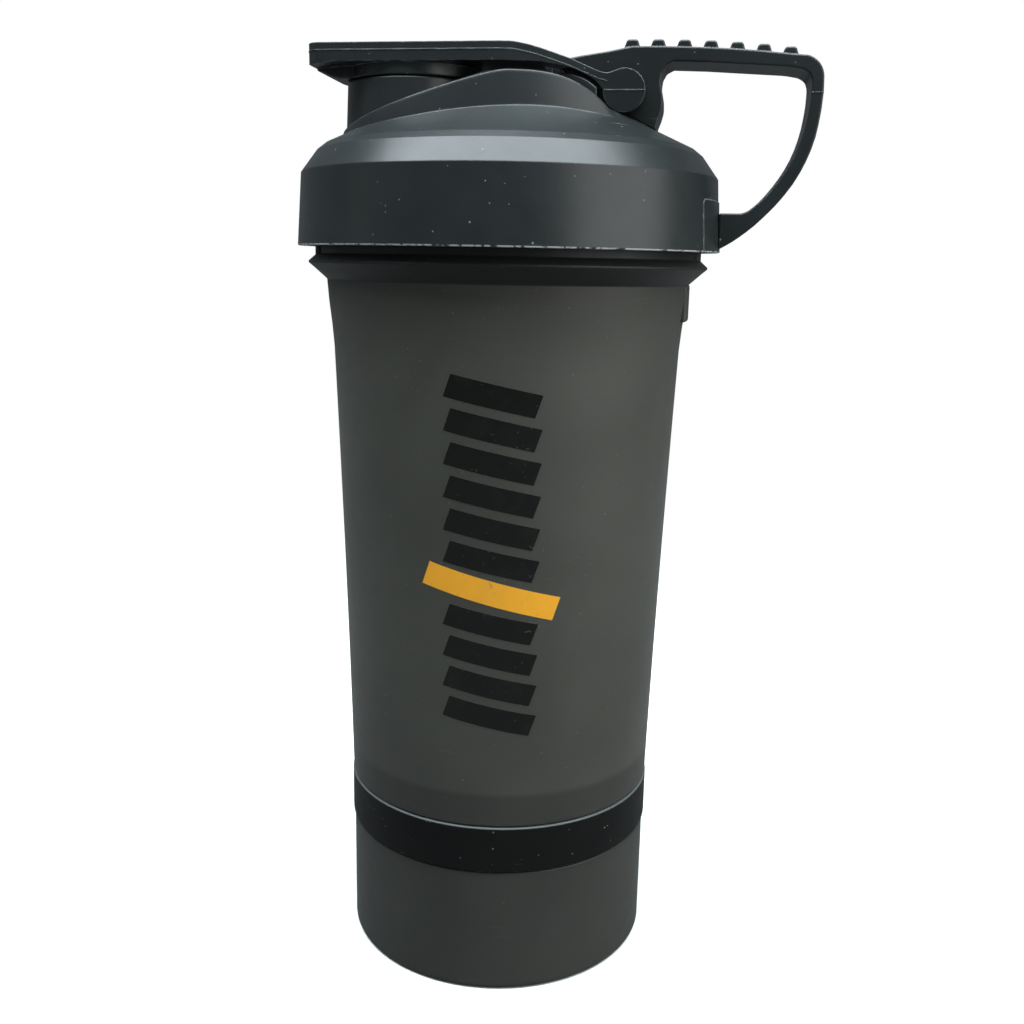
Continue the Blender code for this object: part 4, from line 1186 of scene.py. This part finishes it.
def soft_light(name, azimuth, elevation, distance, width, height, radiance, colour=(1, 1, 1)):
    """A rectangular soft light that faces the middle of the bottle. Azimuth 0 is the camera's side."""
    angle = radians(azimuth) + CAMERA_AZIMUTH
    rise = radians(elevation)
    centre = (CAD_BOX[0] + CAD_BOX[1]) / 2
    away = Vector((sin(angle) * cos(rise), -cos(angle) * cos(rise), sin(rise)))
    data = bpy.data.lights.new(name, "AREA")
    data.shape = "RECTANGLE"
    data.size = width
    data.size_y = height
    data.energy = radiance * pi * width * height
    data.color = colour
    light = bpy.data.objects.new(name, data)
    light.location = centre + away * distance
    light.rotation_mode = "QUATERNION"
    light.rotation_quaternion = away.to_track_quat("Z", "Y")
    bpy.context.scene.collection.objects.link(light)


def make_lights():
    soft_light("overhead", -8, 78, 1.05, 1.75, 0.8, 11.0, (0.86, 0.95, 1.0))
    soft_light("right", 60, 12, 1.20, 1.20, 1.20, 2.8)
    soft_light("left", -80, 10, 1.50, 0.5, 1.00, 0.25)


def make_world():
    """Pale to the camera, and dimmer as light, so that the lights shape the plastic."""
    world = bpy.data.worlds.new("studio")
    world.use_nodes = True
    tree = world.node_tree
    room = tree.nodes["Background"]
    room.inputs["Color"].default_value = (0.86, 0.93, 1.0, 1)
    room.inputs["Strength"].default_value = 0.17
    seen = tree.nodes.new("ShaderNodeBackground")
    seen.inputs["Color"].default_value = (*BACKDROP, 1)
    path = tree.nodes.new("ShaderNodeLightPath")
    choose = tree.nodes.new("ShaderNodeMixShader")
    tree.links.new(path.outputs["Is Camera Ray"], choose.inputs[0])
    tree.links.new(room.outputs[0], choose.inputs[1])
    tree.links.new(seen.outputs[0], choose.inputs[2])
    tree.links.new(choose.outputs[0], tree.nodes["World Output"].inputs["Surface"])
    bpy.context.scene.world = world


def make_floor():
    """A wide matt floor that runs out to the backdrop's paleness."""
    build = bmesh.new()
    sides = 96
    level = -0.00005
    turns = [tau * step / sides for step in range(sides)]
    rings = [[build.verts.new((radius * cos(turn), radius * sin(turn), level)) for turn in turns]
             for radius in (0.3, 0.8, 2.0, 8.0, 30.0)]
    build.faces.new(rings[0])
    for inner, outer in zip(rings, rings[1:]):
        for here in range(sides):
            after = (here + 1) % sides
            build.faces.new((inner[here], outer[here], outer[after], inner[after]))
    floor = object_from(build, "floor")
    look = Shading("floor")
    paper = look.mix(look.step(look.noise(3.0, 3.0), 0.3, 0.7), (0.8, 0.8, 0.79), (0.83, 0.83, 0.82))
    path = look.add("LightPath").outputs["Is Camera Ray"]
    look.surface("Base Color", look.mix(path, (0.12, 0.12, 0.12), paper))
    look.surface("Roughness", 0.9)
    look.surface("Specular IOR Level", 0.1)
    glow = look.add("Emission", {"Color": (*BACKDROP, 1)})
    distance = look.add("VectorMath", {0: look.place}, operation="LENGTH").outputs["Value"]
    share = look.times(look.step(distance, 0.1, 0.6), path)
    blend = look.add("MixShader", {0: share, 1: look.shader.outputs[0], 2: glow.outputs[0]})
    look.tree.links.new(blend.outputs[0], look.tree.nodes["Material Output"].inputs["Surface"])
    floor.data.materials.append(look.material)


bpy.context.scene.view_settings.view_transform = "Standard"
make_camera()
make_world()
make_lights()
make_floor()
make_storage_jar()
make_storage_seal()
make_connector_collar()
make_cup()
make_print()
make_mixing_grid()
make_lid_seal()
make_lid_shell()
make_carry_loop()
make_flip_cap()
make_spout_plug()
